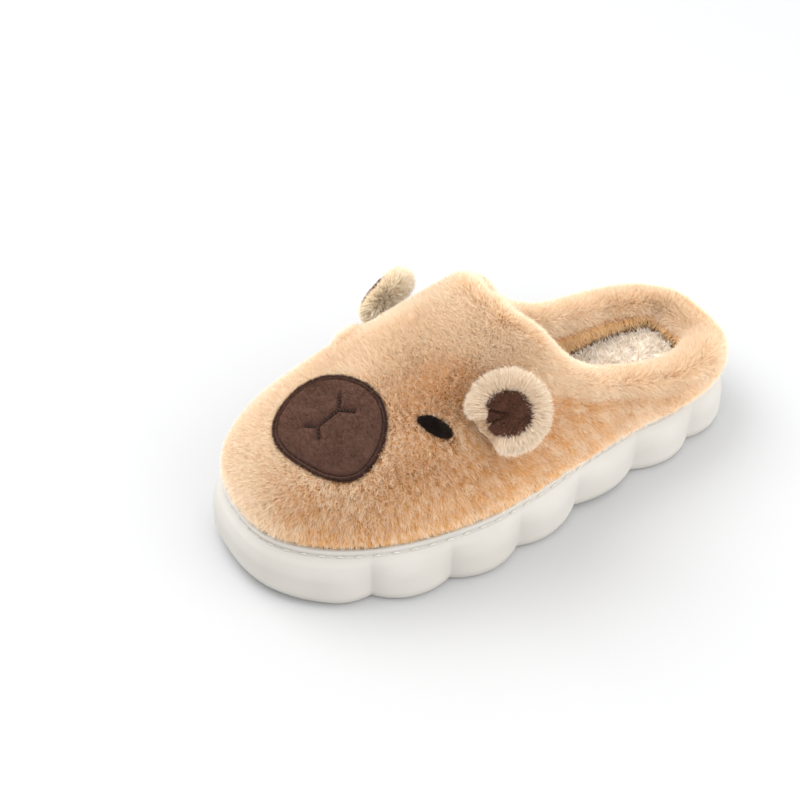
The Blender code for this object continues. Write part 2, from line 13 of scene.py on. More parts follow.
import bpy
import numpy as np
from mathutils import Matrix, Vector

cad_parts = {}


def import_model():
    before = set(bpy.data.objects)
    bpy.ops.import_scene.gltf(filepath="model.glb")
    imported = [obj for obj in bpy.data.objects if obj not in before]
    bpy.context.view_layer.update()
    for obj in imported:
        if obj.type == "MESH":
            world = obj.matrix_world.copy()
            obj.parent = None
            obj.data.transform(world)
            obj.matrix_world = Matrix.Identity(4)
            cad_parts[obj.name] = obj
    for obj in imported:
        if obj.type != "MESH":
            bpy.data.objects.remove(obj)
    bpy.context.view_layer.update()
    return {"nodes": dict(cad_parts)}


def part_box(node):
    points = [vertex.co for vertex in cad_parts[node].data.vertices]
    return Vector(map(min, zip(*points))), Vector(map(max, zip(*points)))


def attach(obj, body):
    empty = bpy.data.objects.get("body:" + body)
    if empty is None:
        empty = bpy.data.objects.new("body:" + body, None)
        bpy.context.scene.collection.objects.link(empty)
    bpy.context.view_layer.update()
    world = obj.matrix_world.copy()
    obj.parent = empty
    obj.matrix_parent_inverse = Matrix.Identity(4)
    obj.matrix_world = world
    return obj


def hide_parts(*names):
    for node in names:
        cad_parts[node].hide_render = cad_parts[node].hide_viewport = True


MM = 0.001
BODY = "root"
Colour = tuple[float, float, float]
log = logging.getLogger("slipper")


# Numbers along curves


def smooth_step(value: np.ndarray) -> np.ndarray:
    """Rises from 0 to 1 as the value goes from 0 to 1: v^2 (3 - 2v)."""
    value = np.clip(value, 0.0, 1.0)
    return value**2 * (3 - 2 * value)


def fade_in(value: np.ndarray, start: float, length: float) -> np.ndarray:
    """Rises smoothly from 0 at the start to 1 a length further on."""
    return smooth_step((value - start) / length)


def unit(vectors: np.ndarray) -> np.ndarray:
    """The vectors at length 1, along the last axis."""
    return vectors / np.maximum(np.linalg.norm(vectors, axis=-1, keepdims=True), 1e-9)


def column(table: dict[str, tuple[float, ...]], key: str, name: str, at: np.ndarray) -> np.ndarray:
    """Reads a column of a table at any place, on a monotone cubic curve.

    Args:
        table: named columns of the same length.
        key: the column that holds the places, rising.
        name: the column to read.
        at: the places to read it at.

    Returns:
        The values there. Each row's slope is the harmonic mean of its two sides, or nothing at a turn.
    """
    x = np.asarray(table[key], float)
    y = np.asarray(table[name], float)
    step = np.diff(x)
    slope = np.diff(y) / step
    tangent = np.zeros_like(y)
    both = slope[:-1] * slope[1:] > 0
    harmonic = 2.0 * slope[:-1] * slope[1:] / np.where(both, slope[:-1] + slope[1:], 1.0)
    tangent[1:-1] = np.where(both, harmonic, 0.0)
    at = np.clip(np.asarray(at, float), x[0], x[-1])
    row = np.clip(np.searchsorted(x, at, side="right") - 1, 0, len(step) - 1)
    t = (at - x[row]) / step[row]
    rise = y[row] * (1 + 2 * t) * (1 - t) ** 2 + y[row + 1] * t**2 * (3 - 2 * t)
    bend = step[row] * t * (1 - t) * (tangent[row] * (1 - t) - tangent[row + 1] * t)
    return rise + bend


@dataclass(frozen=True)
class Ripple:
    """Smooth seeded noise in space: a sum of plane waves sin(k.p + phase)."""

    wavelength: float
    seed: int
    waves: int = 14

    def _plan(self) -> tuple[np.ndarray, np.ndarray]:
        """The waves' vectors and phases.

        Returns:
            The vectors, one a row, and the phases.
        """
        rng = np.random.default_rng(self.seed)
        length = self.wavelength * rng.uniform(0.7, 1.6, self.waves)
        vectors = unit(rng.normal(size=(self.waves, 3))) * (2 * math.pi / length)[:, None]
        return vectors, rng.uniform(0, 6.28, self.waves)

    def value(self, points: np.ndarray) -> np.ndarray:
        """The noise at each point, about -1 to 1."""
        k, phase = self._plan()
        return np.sin(points @ k.T + phase).sum(axis=-1) / math.sqrt(self.waves / 2) / 2

    def slope(self, points: np.ndarray) -> np.ndarray:
        """The direction in which the noise rises, about unit length."""
        k, phase = self._plan()
        return (np.cos(points @ k.T + phase) @ k) * self.wavelength / (2 * math.pi * math.sqrt(self.waves / 2))


# Meshes from arrays


def grid_quads(rows: int, columns: int) -> np.ndarray:
    """The four corners of each cell of a grid whose columns close into a ring.

    Args:
        rows: how many rows the grid has.
        columns: how many columns.

    Returns:
        Four vertex numbers for each cell.
    """
    r, c = np.meshgrid(np.arange(rows - 1), np.arange(columns), indexing="ij")
    d = (c + 1) % columns
    corners = (r * columns + c, r * columns + d, (r + 1) * columns + d, (r + 1) * columns + c)
    return np.stack(corners, axis=-1).reshape(-1, 4)


def make_piece(
    name: str,
    points: np.ndarray,
    quads: np.ndarray,
    triangles: np.ndarray | None = None,
    uv: np.ndarray | None = None,
) -> bpy.types.Object:
    """Makes a mesh object from whole arrays.

    Args:
        name: the piece's name.
        points: vertices in millimetres.
        quads: four vertex numbers a face.
        triangles: three vertex numbers a face.
        uv: a place in the piece's own map for each vertex, tone across and root to tip up.

    Returns:
        The object, at the origin, with smooth shading.
    """
    mesh = bpy.data.meshes.new(name)
    points = points.reshape(-1, 3)
    triangles = np.zeros((0, 3), int) if triangles is None else triangles
    loops = np.concatenate([quads.ravel(), triangles.ravel()]).astype(np.int32)
    starts = np.concatenate([np.arange(len(quads)) * 4, len(quads) * 4 + np.arange(len(triangles)) * 3])
    mesh.vertices.add(len(points))
    mesh.vertices.foreach_set("co", (points * MM).astype(np.float32).ravel())
    mesh.loops.add(len(loops))
    mesh.loops.foreach_set("vertex_index", loops)
    mesh.polygons.add(len(starts))
    mesh.polygons.foreach_set("loop_start", starts.astype(np.int32))
    mesh.update(calc_edges=True)
    mesh.shade_smooth()
    if uv is not None:
        layer = mesh.uv_layers.new(name="OFBake")
        layer.uv.foreach_set("vector", uv.reshape(-1, 2)[loops].astype(np.float32).ravel())
    made = bpy.data.objects.new(name, mesh)
    bpy.context.scene.collection.objects.link(made)
    return made


def closed_piece(name: str, rows: np.ndarray, turned: bool = False) -> bpy.types.Object:
    """A closed piece: a grid whose columns close, with a fan to the middle of its first and its last row.

    Args:
        name: the piece's name.
        rows: rows and columns of points.
        turned: whether the faces are turned over, for a grid that runs the other way.

    Returns:
        The object.
    """
    n = rows.shape[1]
    count = len(rows) * n
    ring = np.arange(n)
    after = (ring + 1) % n
    fans = np.concatenate([
        np.stack([np.full(n, count), after, ring], axis=1),
        np.stack([np.full(n, count + 1), count - n + ring, count - n + after], axis=1),
    ])
    points = np.concatenate([rows.reshape(-1, 3), rows[0].mean(0)[None], rows[-1].mean(0)[None]])
    quads = grid_quads(len(rows), n)
    return make_piece(name, points, quads[:, ::-1], fans[:, ::-1]) if turned else make_piece(name, points, quads, fans)


def tubes(paths: list[np.ndarray], radius: float, sides: int = 6) -> tuple[np.ndarray, np.ndarray]:
    """Round threads along paths, with pinched ends.

    Args:
        paths: points along each thread, all with the same count.
        radius: the thread's radius.
        sides: faces round it.

    Returns:
        Vertices and quads: path + radius (cos a side + sin a up), with the ends drawn in.
    """
    path = np.stack(paths)
    ahead = unit(np.gradient(path, axis=1))
    side = unit(np.cross(ahead, np.array([0.13, 0.21, 0.97])))
    up = np.cross(ahead, side)
    angle = np.arange(sides) * 2 * math.pi / sides
    along = np.linspace(-1, 1, path.shape[1])
    wide = radius * np.sqrt(np.clip(1.0 - along**6, 0.02, 1.0))[None, :, None, None]
    ring = np.cos(angle)[None, None, :, None] * side[:, :, None] + np.sin(angle)[None, None, :, None] * up[:, :, None]
    points = path[:, :, None] + ring * wide
    one = grid_quads(path.shape[1], sides)
    quads = (one[None] + (np.arange(len(path)) * path.shape[1] * sides)[:, None, None]).reshape(-1, 4)
    return points.reshape(-1, 3), quads


# Finishes


class Wire:
    """A socket that adds Math nodes when it is used in an expression."""

    def __init__(self, shader: "Shader", socket: bpy.types.NodeSocket) -> None:
        """Keeps the socket and the shader that it belongs to."""
        self.shader = shader
        self.socket = socket

    def _math(self, operation: str, first: "Wire | float", second: "Wire | float") -> "Wire":
        """A Math node on two values."""
        made = self.shader.node("ShaderNodeMath", {"operation": operation}, {0: first, 1: second})
        return Wire(self.shader, made.outputs[0])

    def __add__(self, other: "Wire | float") -> "Wire":
        """self + other."""
        return self._math("ADD", self, other)

    def __sub__(self, other: "Wire | float") -> "Wire":
        """self - other."""
        return self._math("SUBTRACT", self, other)

    def __rsub__(self, other: float) -> "Wire":
        """other - self."""
        return self._math("SUBTRACT", other, self)

    def __mul__(self, other: "Wire | float") -> "Wire":
        """self * other."""
        return self._math("MULTIPLY", self, other)

    __radd__ = __add__
    __rmul__ = __mul__


class Shader:
    """A Principled material that is built from Python expressions."""

    def __init__(self, name: str, roughness: float, sheen: float = 0.0, sheen_tint: Colour = (1.0, 1.0, 1.0)) -> None:
        """Makes the material and sets what is the same all over it.

        Args:
            name: the material's name.
            roughness: the surface's roughness.
            sheen: how strong the sheen is.
            sheen_tint: the sheen's colour.
        """
        self.material = bpy.data.materials.new(name)
        self.material.use_nodes = True
        self.nodes = self.material.node_tree.nodes
        self.links = self.material.node_tree.links
        self.principled = self.nodes["Principled BSDF"]
        self.principled.inputs["Roughness"].default_value = roughness
        self.principled.inputs["Specular IOR Level"].default_value = 0.25
        self.principled.inputs["Sheen Weight"].default_value = sheen
        self.principled.inputs["Sheen Tint"].default_value = (*sheen_tint, 1.0)

    def node(self, kind: str, settings: dict[str, object], inputs: dict[int | str, object]) -> bpy.types.Node:
        """Adds a node.

        Args:
            kind: the node's type.
            settings: its properties, set first; "stops" are a colour ramp's places and colours.
            inputs: the values or links of its sockets.

        Returns:
            The node.
        """
        made = self.nodes.new(kind)
        for name, value in settings.items():
            if name == "stops":
                ramp = made.color_ramp
                for place, _ in value[2:]:
                    ramp.elements.new(place)
                for stop, (place, colour) in zip(ramp.elements, sorted(value)):
                    stop.position = place
                    stop.color = (*colour, 1.0)
            else:
                setattr(made, name, value)
        for name, value in inputs.items():
            if isinstance(value, Wire):
                self.links.new(value.socket, made.inputs[name])
            elif isinstance(value, bpy.types.NodeSocket):
                self.links.new(value, made.inputs[name])
            else:
                made.inputs[name].default_value = value
        return made

    def place(self) -> bpy.types.NodeSocket:
        """Object coordinates, in metres."""
        return self.node("ShaderNodeTexCoord", {}, {}).outputs["Object"]

    def noise(self, size: float, detail: float = 2.0, rough: float = 0.5) -> Wire:
        """Noise whose patches are about this many millimetres across."""
        inputs = {"Vector": self.place(), "Scale": 1000.0 / size, "Detail": detail, "Roughness": rough}
        return Wire(self, self.node("ShaderNodeTexNoise", {}, inputs).outputs["Fac"])

    def ramp(self, fac: Wire, stops: tuple[tuple[float, Colour], ...]) -> Wire:
        """A colour ramp."""
        return Wire(self, self.node("ShaderNodeValToRGB", {"stops": stops}, {"Fac": fac}).outputs["Color"])

    def blend(self, fac: Wire | float, first: "Wire | Colour", second: "Wire | Colour") -> Wire:
        """A mix of two colours."""
        colours = [c if isinstance(c, Wire) else (*c, 1.0) for c in (first, second)]
        made = self.node("ShaderNodeMix", {"data_type": "RGBA"}, {0: fac, 6: colours[0], 7: colours[1]})
        return Wire(self, made.outputs[2])

    def relief(self, height: Wire, depth: float, strength: float = 1.0) -> None:
        """Bumps the surface by a height of at most this many millimetres."""
        made = self.node("ShaderNodeBump", {}, {"Height": height, "Distance": depth * MM, "Strength": strength})
        self.links.new(made.outputs[0], self.principled.inputs["Normal"])

    def wire(self, name: str, value: Wire) -> None:
        """Feeds one of the shader's varying sockets."""
        self.links.new(value.socket, self.principled.inputs[name])


@dataclass(frozen=True)
class PileFinish:
    """Blades of pile: dark and light tones, each running from the root's colour to the tip's."""

    name: str
    root: Colour
    dark: Colour
    light: Colour
    tip: Colour
    roughness: float = 0.75
    sheen: float = 0.25

    def build(self) -> bpy.types.Material:
        """The colour is a ramp from root to tip, mixed between its dark and light tones by the blade's own tone.

        Returns:
            The material.
        """
        shader = Shader(self.name, self.roughness, self.sheen, self.tip)
        spot = shader.node("ShaderNodeUVMap", {"uv_map": "OFBake"}, {}).outputs[0]
        parts = shader.node("ShaderNodeSeparateXYZ", {}, {0: spot})
        tone, along = Wire(shader, parts.outputs[0]), Wire(shader, parts.outputs[1])
        low = shader.ramp(along, ((0.0, self.root), (1.0, self.dark), (0.35, self.root)))
        high = shader.ramp(along, ((0.0, self.dark), (1.0, self.tip), (0.45, self.light)))
        shader.wire("Base Color", shader.blend(tone, low, high))
        return shader.material


@dataclass(frozen=True)
class ClothFinish:
    """Short cloth: two tones in soft patches, a fine nap, and a sheen."""

    name: str
    deep: Colour
    pale: Colour
    patch: float = 9.0
    grain: float = 0.7
    depth: float = 0.5
    sheen: float = 0.5
    roughness: float = 0.85

    def build(self) -> bpy.types.Material:
        """The colour is deep + (pale - deep)(patches + grain) / 2, the height is the grain.

        Returns:
            The material.
        """
        shader = Shader(self.name, self.roughness, self.sheen, self.pale)
        grain = shader.noise(self.grain, 4.0, 0.7)
        patch = shader.noise(self.patch, 3.0)
        shader.wire("Base Color", shader.blend((patch * 0.6 + grain * 1.6 - 0.6), self.deep, self.pale))
        shader.relief(grain + patch * 0.3, self.depth, 0.8)
        return shader.material


@dataclass(frozen=True)
class FoamFinish:
    """Moulded foam: off-white, faintly clouded, with a fine pebbled skin."""

    name: str = "moulded_foam"
    pale: Colour = (0.555, 0.530, 0.490)
    grey: Colour = (0.460, 0.434, 0.394)

    def build(self) -> bpy.types.Material:
        """The colour is clouded between pale and grey; the height is a fine grain.

        Returns:
            The material.
        """
        shader = Shader(self.name, 0.5)
        cloud = shader.noise(45.0, 3.0)
        fine = shader.noise(0.9, 3.0, 0.6)
        shader.wire("Base Color", shader.blend(cloud * 1.6 - 0.4, self.pale, self.grey))
        shader.wire("Roughness", cloud * 0.14 + 0.44)
        shader.relief(fine, 0.06, 0.7)
        return shader.material


FUR = PileFinish(
    "tan_pile", (0.54, 0.22, 0.045), (1.0, 0.58, 0.18), (0.96, 0.76, 0.52), (0.93, 0.85, 0.745), sheen=0.18
)
INNER_FUR = PileFinish(
    "inner_pile", (0.48, 0.22, 0.07), (0.83, 0.46, 0.17), (0.94, 0.64, 0.32), (0.98, 0.78, 0.52), sheen=0.12
)
EAR_COAT = PileFinish("ear_pile", (0.55, 0.30, 0.13), (0.72, 0.47, 0.25), (0.80, 0.66, 0.49), (0.84, 0.75, 0.63))
# A brighter copy of the ear's pile for the medial ear: painted light on an ear that the lamps leave in shade.
PAINTED_LIGHT_EAR = PileFinish("pale_ear_pile", (0.72, 0.40, 0.16), (0.98, 0.70, 0.38), (1.0, 0.87, 0.68), (1.0, 0.95, 0.84))
FLEECE = PileFinish("insole_pile", (0.86, 0.75, 0.62), (0.91, 0.81, 0.69), (0.94, 0.86, 0.77), (0.97, 0.91, 0.84))
NAP = PileFinish(
    "velvet_nap", (0.050, 0.020, 0.012), (0.098, 0.042, 0.026), (0.190, 0.080, 0.047), (0.345, 0.166, 0.103), 0.8, 0.3
)
RIM_NAP = PileFinish(
    "velvet_rim", (0.02, 0.009, 0.006), (0.04, 0.018, 0.012), (0.08, 0.038, 0.026), (0.16, 0.08, 0.06), 0.8, 0.2
)
FELT = PileFinish(
    "felt_nap", (0.006, 0.003, 0.002), (0.012, 0.006, 0.004), (0.026, 0.014, 0.009), (0.045, 0.026, 0.016), 0.8, 0.1
)
# The backing is darker than the pile's roots: painted shade in the gaps between blades and round the face patches.
BACKING_PAINTED_SHADE = ClothFinish("pile_backing", (0.16, 0.075, 0.03), (0.30, 0.15, 0.06), sheen=0.0)
INSOLE_CLOTH = ClothFinish("fleece_backing", (0.88, 0.79, 0.64), (0.98, 0.91, 0.79), 4.0, 1.2, 0.6)
VELVET = ClothFinish("brown_velvet", (0.045, 0.021, 0.015), (0.12, 0.058, 0.039), 7.0, 0.55, 0.35, 0.5)
DARK_FELT = ClothFinish("dark_felt", (0.008, 0.005, 0.003), (0.020, 0.011, 0.007), 3.0, 0.6, 0.3, 0.1)
THREAD = ClothFinish("embroidery_thread", (0.018, 0.009, 0.007), (0.06, 0.030, 0.024), 2.0, 0.4, 0.15, 0.2)
SOLE_THREAD = ClothFinish("sole_thread", (0.50, 0.46, 0.40), (0.72, 0.68, 0.61), 2.0, 0.4, 0.1, 0.1)


def dress(piece: bpy.types.Object, finish: PileFinish | ClothFinish | FoamFinish) -> bpy.types.Object:
    """Gives a piece a new material of a finish, and returns the piece."""
    piece.data.materials.append(finish.build())
    return piece


# The pile


@dataclass
class Roots:
    """Where blades grow: places and outward directions, and how far up the grid each lies."""

    place: np.ndarray
    normal: np.ndarray
    row: np.ndarray

    def keep(self, mask: np.ndarray) -> "Roots":
        """The roots that a mask picks."""
        return Roots(self.place[mask], self.normal[mask], self.row[mask])


def scatter(grid: np.ndarray, count: int, rng: np.random.Generator) -> Roots:
    """Spreads roots evenly over a grid whose columns close.

    Args:
        grid: rows and columns of points.
        count: how many roots.
        rng: the seeded source.

    Returns:
        The roots: each cell gets its share by area, and a root is the cell's bilinear mix at two random numbers.
    """
    after = np.roll(grid, -1, axis=1)
    a, b, c, d = grid[:-1], after[:-1], after[1:], grid[1:]
    normal = unit(np.cross(after - np.roll(grid, 1, axis=1), np.gradient(grid, axis=0)))
    area = np.linalg.norm(np.cross(c - a, d - b), axis=-1) / 2
    cell = rng.choice(area.size, count, p=(area / area.sum()).ravel())
    u, v = rng.random((2, count, 1))
    corner = [p.reshape(-1, 3)[cell] for p in (a, b, c, d)]
    place = (corner[0] * (1 - u) + corner[1] * u) * (1 - v) + (corner[3] * (1 - u) + corner[2] * u) * v
    row, left = np.divmod(cell, grid.shape[1])
    right = (left + 1) % grid.shape[1]
    facing = (normal[row, left] * (1 - u) + normal[row, right] * u) * (1 - v)
    facing = unit(facing + (normal[row + 1, left] * (1 - u) + normal[row + 1, right] * u) * v)
    return Roots(place, facing, (row + v[:, 0]) / (grid.shape[0] - 1))


@dataclass
class Pile:
    """Tapered blades: straight spikes, or two segments each where they bend."""

    width: float = 0.40
    roll: float = 0.8
    droop: float = 0.2
    clump: float = 0.55
    clump_size: float = 3.2
    seed: int = 5
    bent: bool = True

    def grow(
        self,
        name: str,
        roots: Roots,
        lean: np.ndarray,
        length: np.ndarray,
        tone: np.ndarray,
        floor: np.ndarray | None = None,
    ) -> bpy.types.Object:
        """Grows one blade on each root.

        Args:
            name: the piece's name.
            roots: where they grow.
            lean: the way that each blade leans, in the surface, as long as the tangent of its angle.
            length: each blade's length.
            tone: each blade's tone, 0 to 1.
            floor: the lowest height that each tip may reach.

        Returns:
            The piece. A blade's line is root + length (t way + t^2 droop lean) + t^2 clump, its half width
            width (1 - t) / 2 across the way that it runs.
        """
        rng = np.random.default_rng(self.seed)
        way = unit(roots.normal + lean)
        pull = Ripple(self.clump_size, self.seed).slope(roots.place) * self.clump
        flat = unit(np.cross(way, roots.normal) + rng.normal(size=way.shape) * 0.25)
        flat = unit(flat - way * (flat * way).sum(-1, keepdims=True))
        turn = rng.uniform(-self.roll, self.roll, (len(way), 1))
        flat = flat * np.cos(turn) + np.cross(way, flat) * np.sin(turn)
        lines = []
        for t in (0.0, 0.5, 1.0):
            spot = roots.place + length[:, None] * (t * way + self.droop * t * t * lean) + t * t * pull
            if floor is not None:
                eased = np.minimum(roots.place[:, 2], floor + (spot[:, 2] - floor) * 0.1)
                spot[:, 2] = np.where(spot[:, 2] < floor, eased, spot[:, 2])
            lines.append(spot)
        foot, waist, tip = lines
        half = flat * self.width / 2
        corners, along = [foot - half, foot + half, tip], [0.02, 0.02, 0.98]
        if self.bent:
            corners[2:2] = [waist + half * 0.8, waist - half * 0.8]
            along[2:2] = [0.5, 0.5]
        shade = np.repeat(np.clip(tone, 0.02, 0.98)[:, None], len(along), axis=1)
        uv = np.stack([shade, np.tile(along, (len(way), 1))], axis=-1)
        base = (np.arange(len(way)) * len(along))[:, None]
        quads = base + np.arange(4) if self.bent else np.zeros((0, 4), int)
        ends = base + np.array([3, 2, 4] if self.bent else [0, 1, 2])
        return make_piece(name, np.stack(corners, axis=1), quads, ends, uv)


# The shapes


CENTRE_LINE = {
    "station": (0.00, 0.18, 0.34, 0.50, 0.64, 0.80, 1.00),
    "swing": (0.00, 0.66, 1.00, 0.83, 0.66, 0.40, 0.00),
    "waist": (0.00, 0.00, 0.00, 0.05, 0.045, 0.015, 0.00),
}

WALL = {
    "section": (0.00, 0.14, 0.28, 0.40, 0.50, 0.60, 0.72, 0.84, 0.93, 1.00),
    "aim": (0.23, 0.25, 0.33, 0.36, 0.38, 0.42, 0.54, 0.645, 0.67, 0.68),
    "lean": (0.786, 0.77, 0.63, 0.53, 0.38, 0.22, 0.08, 0.03, 0.03, 0.03),
    "lateral": (1.00, 0.99, 0.95, 0.85, 0.63, 0.36, 0.155, 0.07, 0.03, 0.00),
    "medial": (1.00, 0.98, 0.92, 0.80, 0.58, 0.32, 0.13, 0.04, 0.01, 0.00),
    "slope": (24.0, 26.0, 32.0, 41.0, 54.0, 66.0, 80.0, 86.0, 88.0, 88.0),
    "pull": (0.36, 0.37, 0.38, 0.40, 0.40, 0.38, 0.36, 0.36, 0.36, 0.36),
    "thick": (0.00, 0.00, 0.03, 0.12, 0.30, 0.62, 0.90, 1.00, 1.00, 1.00),
    "full": (1.00, 1.00, 1.00, 0.98, 0.94, 0.88, 0.76, 0.64, 0.58, 0.58),
    "hem": (0.50, 0.50, 0.50, 0.55, 0.65, 0.80, 0.95, 1.00, 0.90, 0.70),
}


@dataclass
class Last:
    """The shoe's plan: a closed outline that starts at the toe and runs round the lateral side first."""

    length: float = 264.0
    ball_width: float = 113.0
    heel_width: float = 88.5
    ball_line: float = 0.37
    heel_line: float = 0.74
    swing: float = 9.5
    toe_squareness: float = 2.6
    heel_squareness: float = 2.5
    shift: float = 0.0

    def __post_init__(self) -> None:
        """Walks the outline once: half widths either side of the centre line, then its running length."""
        turn = np.linspace(0.0, math.pi, 1600)
        station = (1.0 - np.cos(turn)) / 2.0
        y = self.length * (station - 0.5)
        middle, half = self.centre(station), self.half_width(station)
        waist = 1.0 - 2.0 * column(CENTRE_LINE, "station", "waist", station)
        lateral = np.stack([middle + half, y], axis=1)
        medial = np.stack([middle - half * waist, y], axis=1)[::-1]
        self.points = np.concatenate([lateral, medial[1:]])
        self.run = np.concatenate([[0.0], np.cumsum(np.hypot(*np.diff(self.points, axis=0).T))])
        self.perimeter = float(self.run[-1])
        self.heel_run = float(self.run[len(lateral) - 1])

    def half_width(self, station: np.ndarray) -> np.ndarray:
        """Half the width: (1 - toe^a)^(1/a) (1 - heel^b)^(1/b) times a taper from the ball to the heel.

        Args:
            station: places from the toe (0) to the heel (1).

        Returns:
            Half the width at each place.
        """
        toe = np.clip((self.ball_line - station) / self.ball_line, 0.0, 1.0)
        heel = np.clip((station - self.heel_line) / (1.0 - self.heel_line), 0.0, 1.0)
        taper = smooth_step((station - self.ball_line) / (self.heel_line - self.ball_line))
        width = self.ball_width + (self.heel_width - self.ball_width) * taper
        width = width * (1.0 - toe**self.toe_squareness) ** (1 / self.toe_squareness)
        return width * (1.0 - heel**self.heel_squareness) ** (1 / self.heel_squareness) / 2.0

    def centre(self, station: np.ndarray) -> np.ndarray:
        """The centre line's X at a station."""
        return self.shift + self.swing * column(CENTRE_LINE, "station", "swing", station)

    def at(self, run: np.ndarray) -> np.ndarray:
        """The points at distances along the outline."""
        run = np.mod(run, self.perimeter)
        return np.stack([np.interp(run, self.run, self.points[:, i]) for i in (0, 1)], axis=-1)

    def inward(self, run: np.ndarray) -> np.ndarray:
        """The unit directions into the outline."""
        ahead = unit(self.at(run + 3.0) - self.at(run - 3.0))
        return np.stack([-ahead[..., 1], ahead[..., 0]], axis=-1)

    def side_share(self, run: np.ndarray) -> np.ndarray:
        """How far each point is from the toe (0) to the heel (1) along its own side."""
        back = (self.perimeter - run) / (self.perimeter - self.heel_run)
        return np.where(run <= self.heel_run, run / self.heel_run, back)


class Side(Enum):
    """A side of the shoe, as the sign of its X from the face's axis."""

    LATERAL = 1
    MEDIAL = -1


@dataclass
class Spot:
    """A blunt ellipse on the head in plan: a face patch's outline."""

    centre: np.ndarray
    half_x: float
    half_y: float
    squareness: float = 2.0
    turn: float = 0.0

    def local(self, points: np.ndarray) -> tuple[np.ndarray, np.ndarray]:
        """The points across and along the turned ellipse, as shares of its half axes."""
        x, y = points[..., 0] - self.centre[0], points[..., 1] - self.centre[1]
        c, s = math.cos(self.turn), math.sin(self.turn)
        return (x * c + y * s) / self.half_x, (y * c - x * s) / self.half_y

    def radius(self, points: np.ndarray) -> np.ndarray:
        """(|across|^n + |along|^n)^(1/n): 1 on the rim."""
        across, along = self.local(points)
        return (np.abs(across) ** self.squareness + np.abs(along) ** self.squareness) ** (1 / self.squareness)

    def polar(self, radius: np.ndarray, angle: np.ndarray) -> np.ndarray:
        """The plan points at shares of the rim's radius.

        Args:
            radius: shares of the rim's radius.
            angle: angles from the turned X axis.

        Returns:
            The plan points.
        """
        def power(value: np.ndarray) -> np.ndarray:
            return np.sign(value) * np.abs(value) ** (2 / self.squareness)

        x, y = self.half_x * radius * power(np.cos(angle)), self.half_y * radius * power(np.sin(angle))
        c, s = math.cos(self.turn), math.sin(self.turn)
        return np.stack([self.centre[0] + x * c - y * s, self.centre[1] + x * s + y * c], axis=-1)


@dataclass
class Face:
    """Where the nose, the eyes and the ears are, from the toe tip and to either side of the face's axis."""

    last: Last
    side: float = 10.5
    nose_side: float = 5.0
    nose_back: float = 45.0
    nose_width: float = 50.5
    nose_length: float = 36.5
    nose_turn: float = 25.0
    nose_squareness: float = 2.25
    eye_side: float = -3.6
    eye_back: float = 79.7
    eye_spread: float = 35.4
    eye_length: float = 15.0
    eye_width: float = 5.2
    eye_turn: float = 45.0
    nose_recess: float = 3.5
    eye_recess: float = 3.0
    eye_hollow: float = 9.0

    def point(self, back: float, spread: float, side: Side, middle: float) -> np.ndarray:
        """A plan point of the face."""
        return np.array([self.last.shift + self.side + middle + side.value * spread, back - self.last.length / 2])

    def nose(self) -> Spot:
        """The nose's outline."""
        centre = self.point(self.nose_back, 0.0, Side.LATERAL, self.nose_side)
        turn = math.radians(self.nose_turn)
        return Spot(centre, self.nose_width / 2, self.nose_length / 2, self.nose_squareness, turn)

    def eye(self, side: Side) -> Spot:
        """An eye's outline."""
        centre = self.point(self.eye_back, self.eye_spread, side, self.eye_side)
        turn = side.value * math.radians(self.eye_turn)
        return Spot(centre, self.eye_length / 2, self.eye_width / 2, turn=turn)

    def recess(self, points: np.ndarray) -> np.ndarray:
        """How deep the pile's backing is pressed in round the patches.

        Args:
            points: points on the wall.

        Returns:
            The depth at each point.
        """
        depth = self.nose_recess * (1.0 - fade_in(self.nose().radius(points), 1.1, 0.4))
        for side in Side:
            hollow = Spot(self.eye(side).centre, self.eye_hollow, self.eye_hollow).radius(points)
            depth = depth + self.eye_recess * (1.0 - fade_in(hollow, 0.6, 1.0))
        return depth


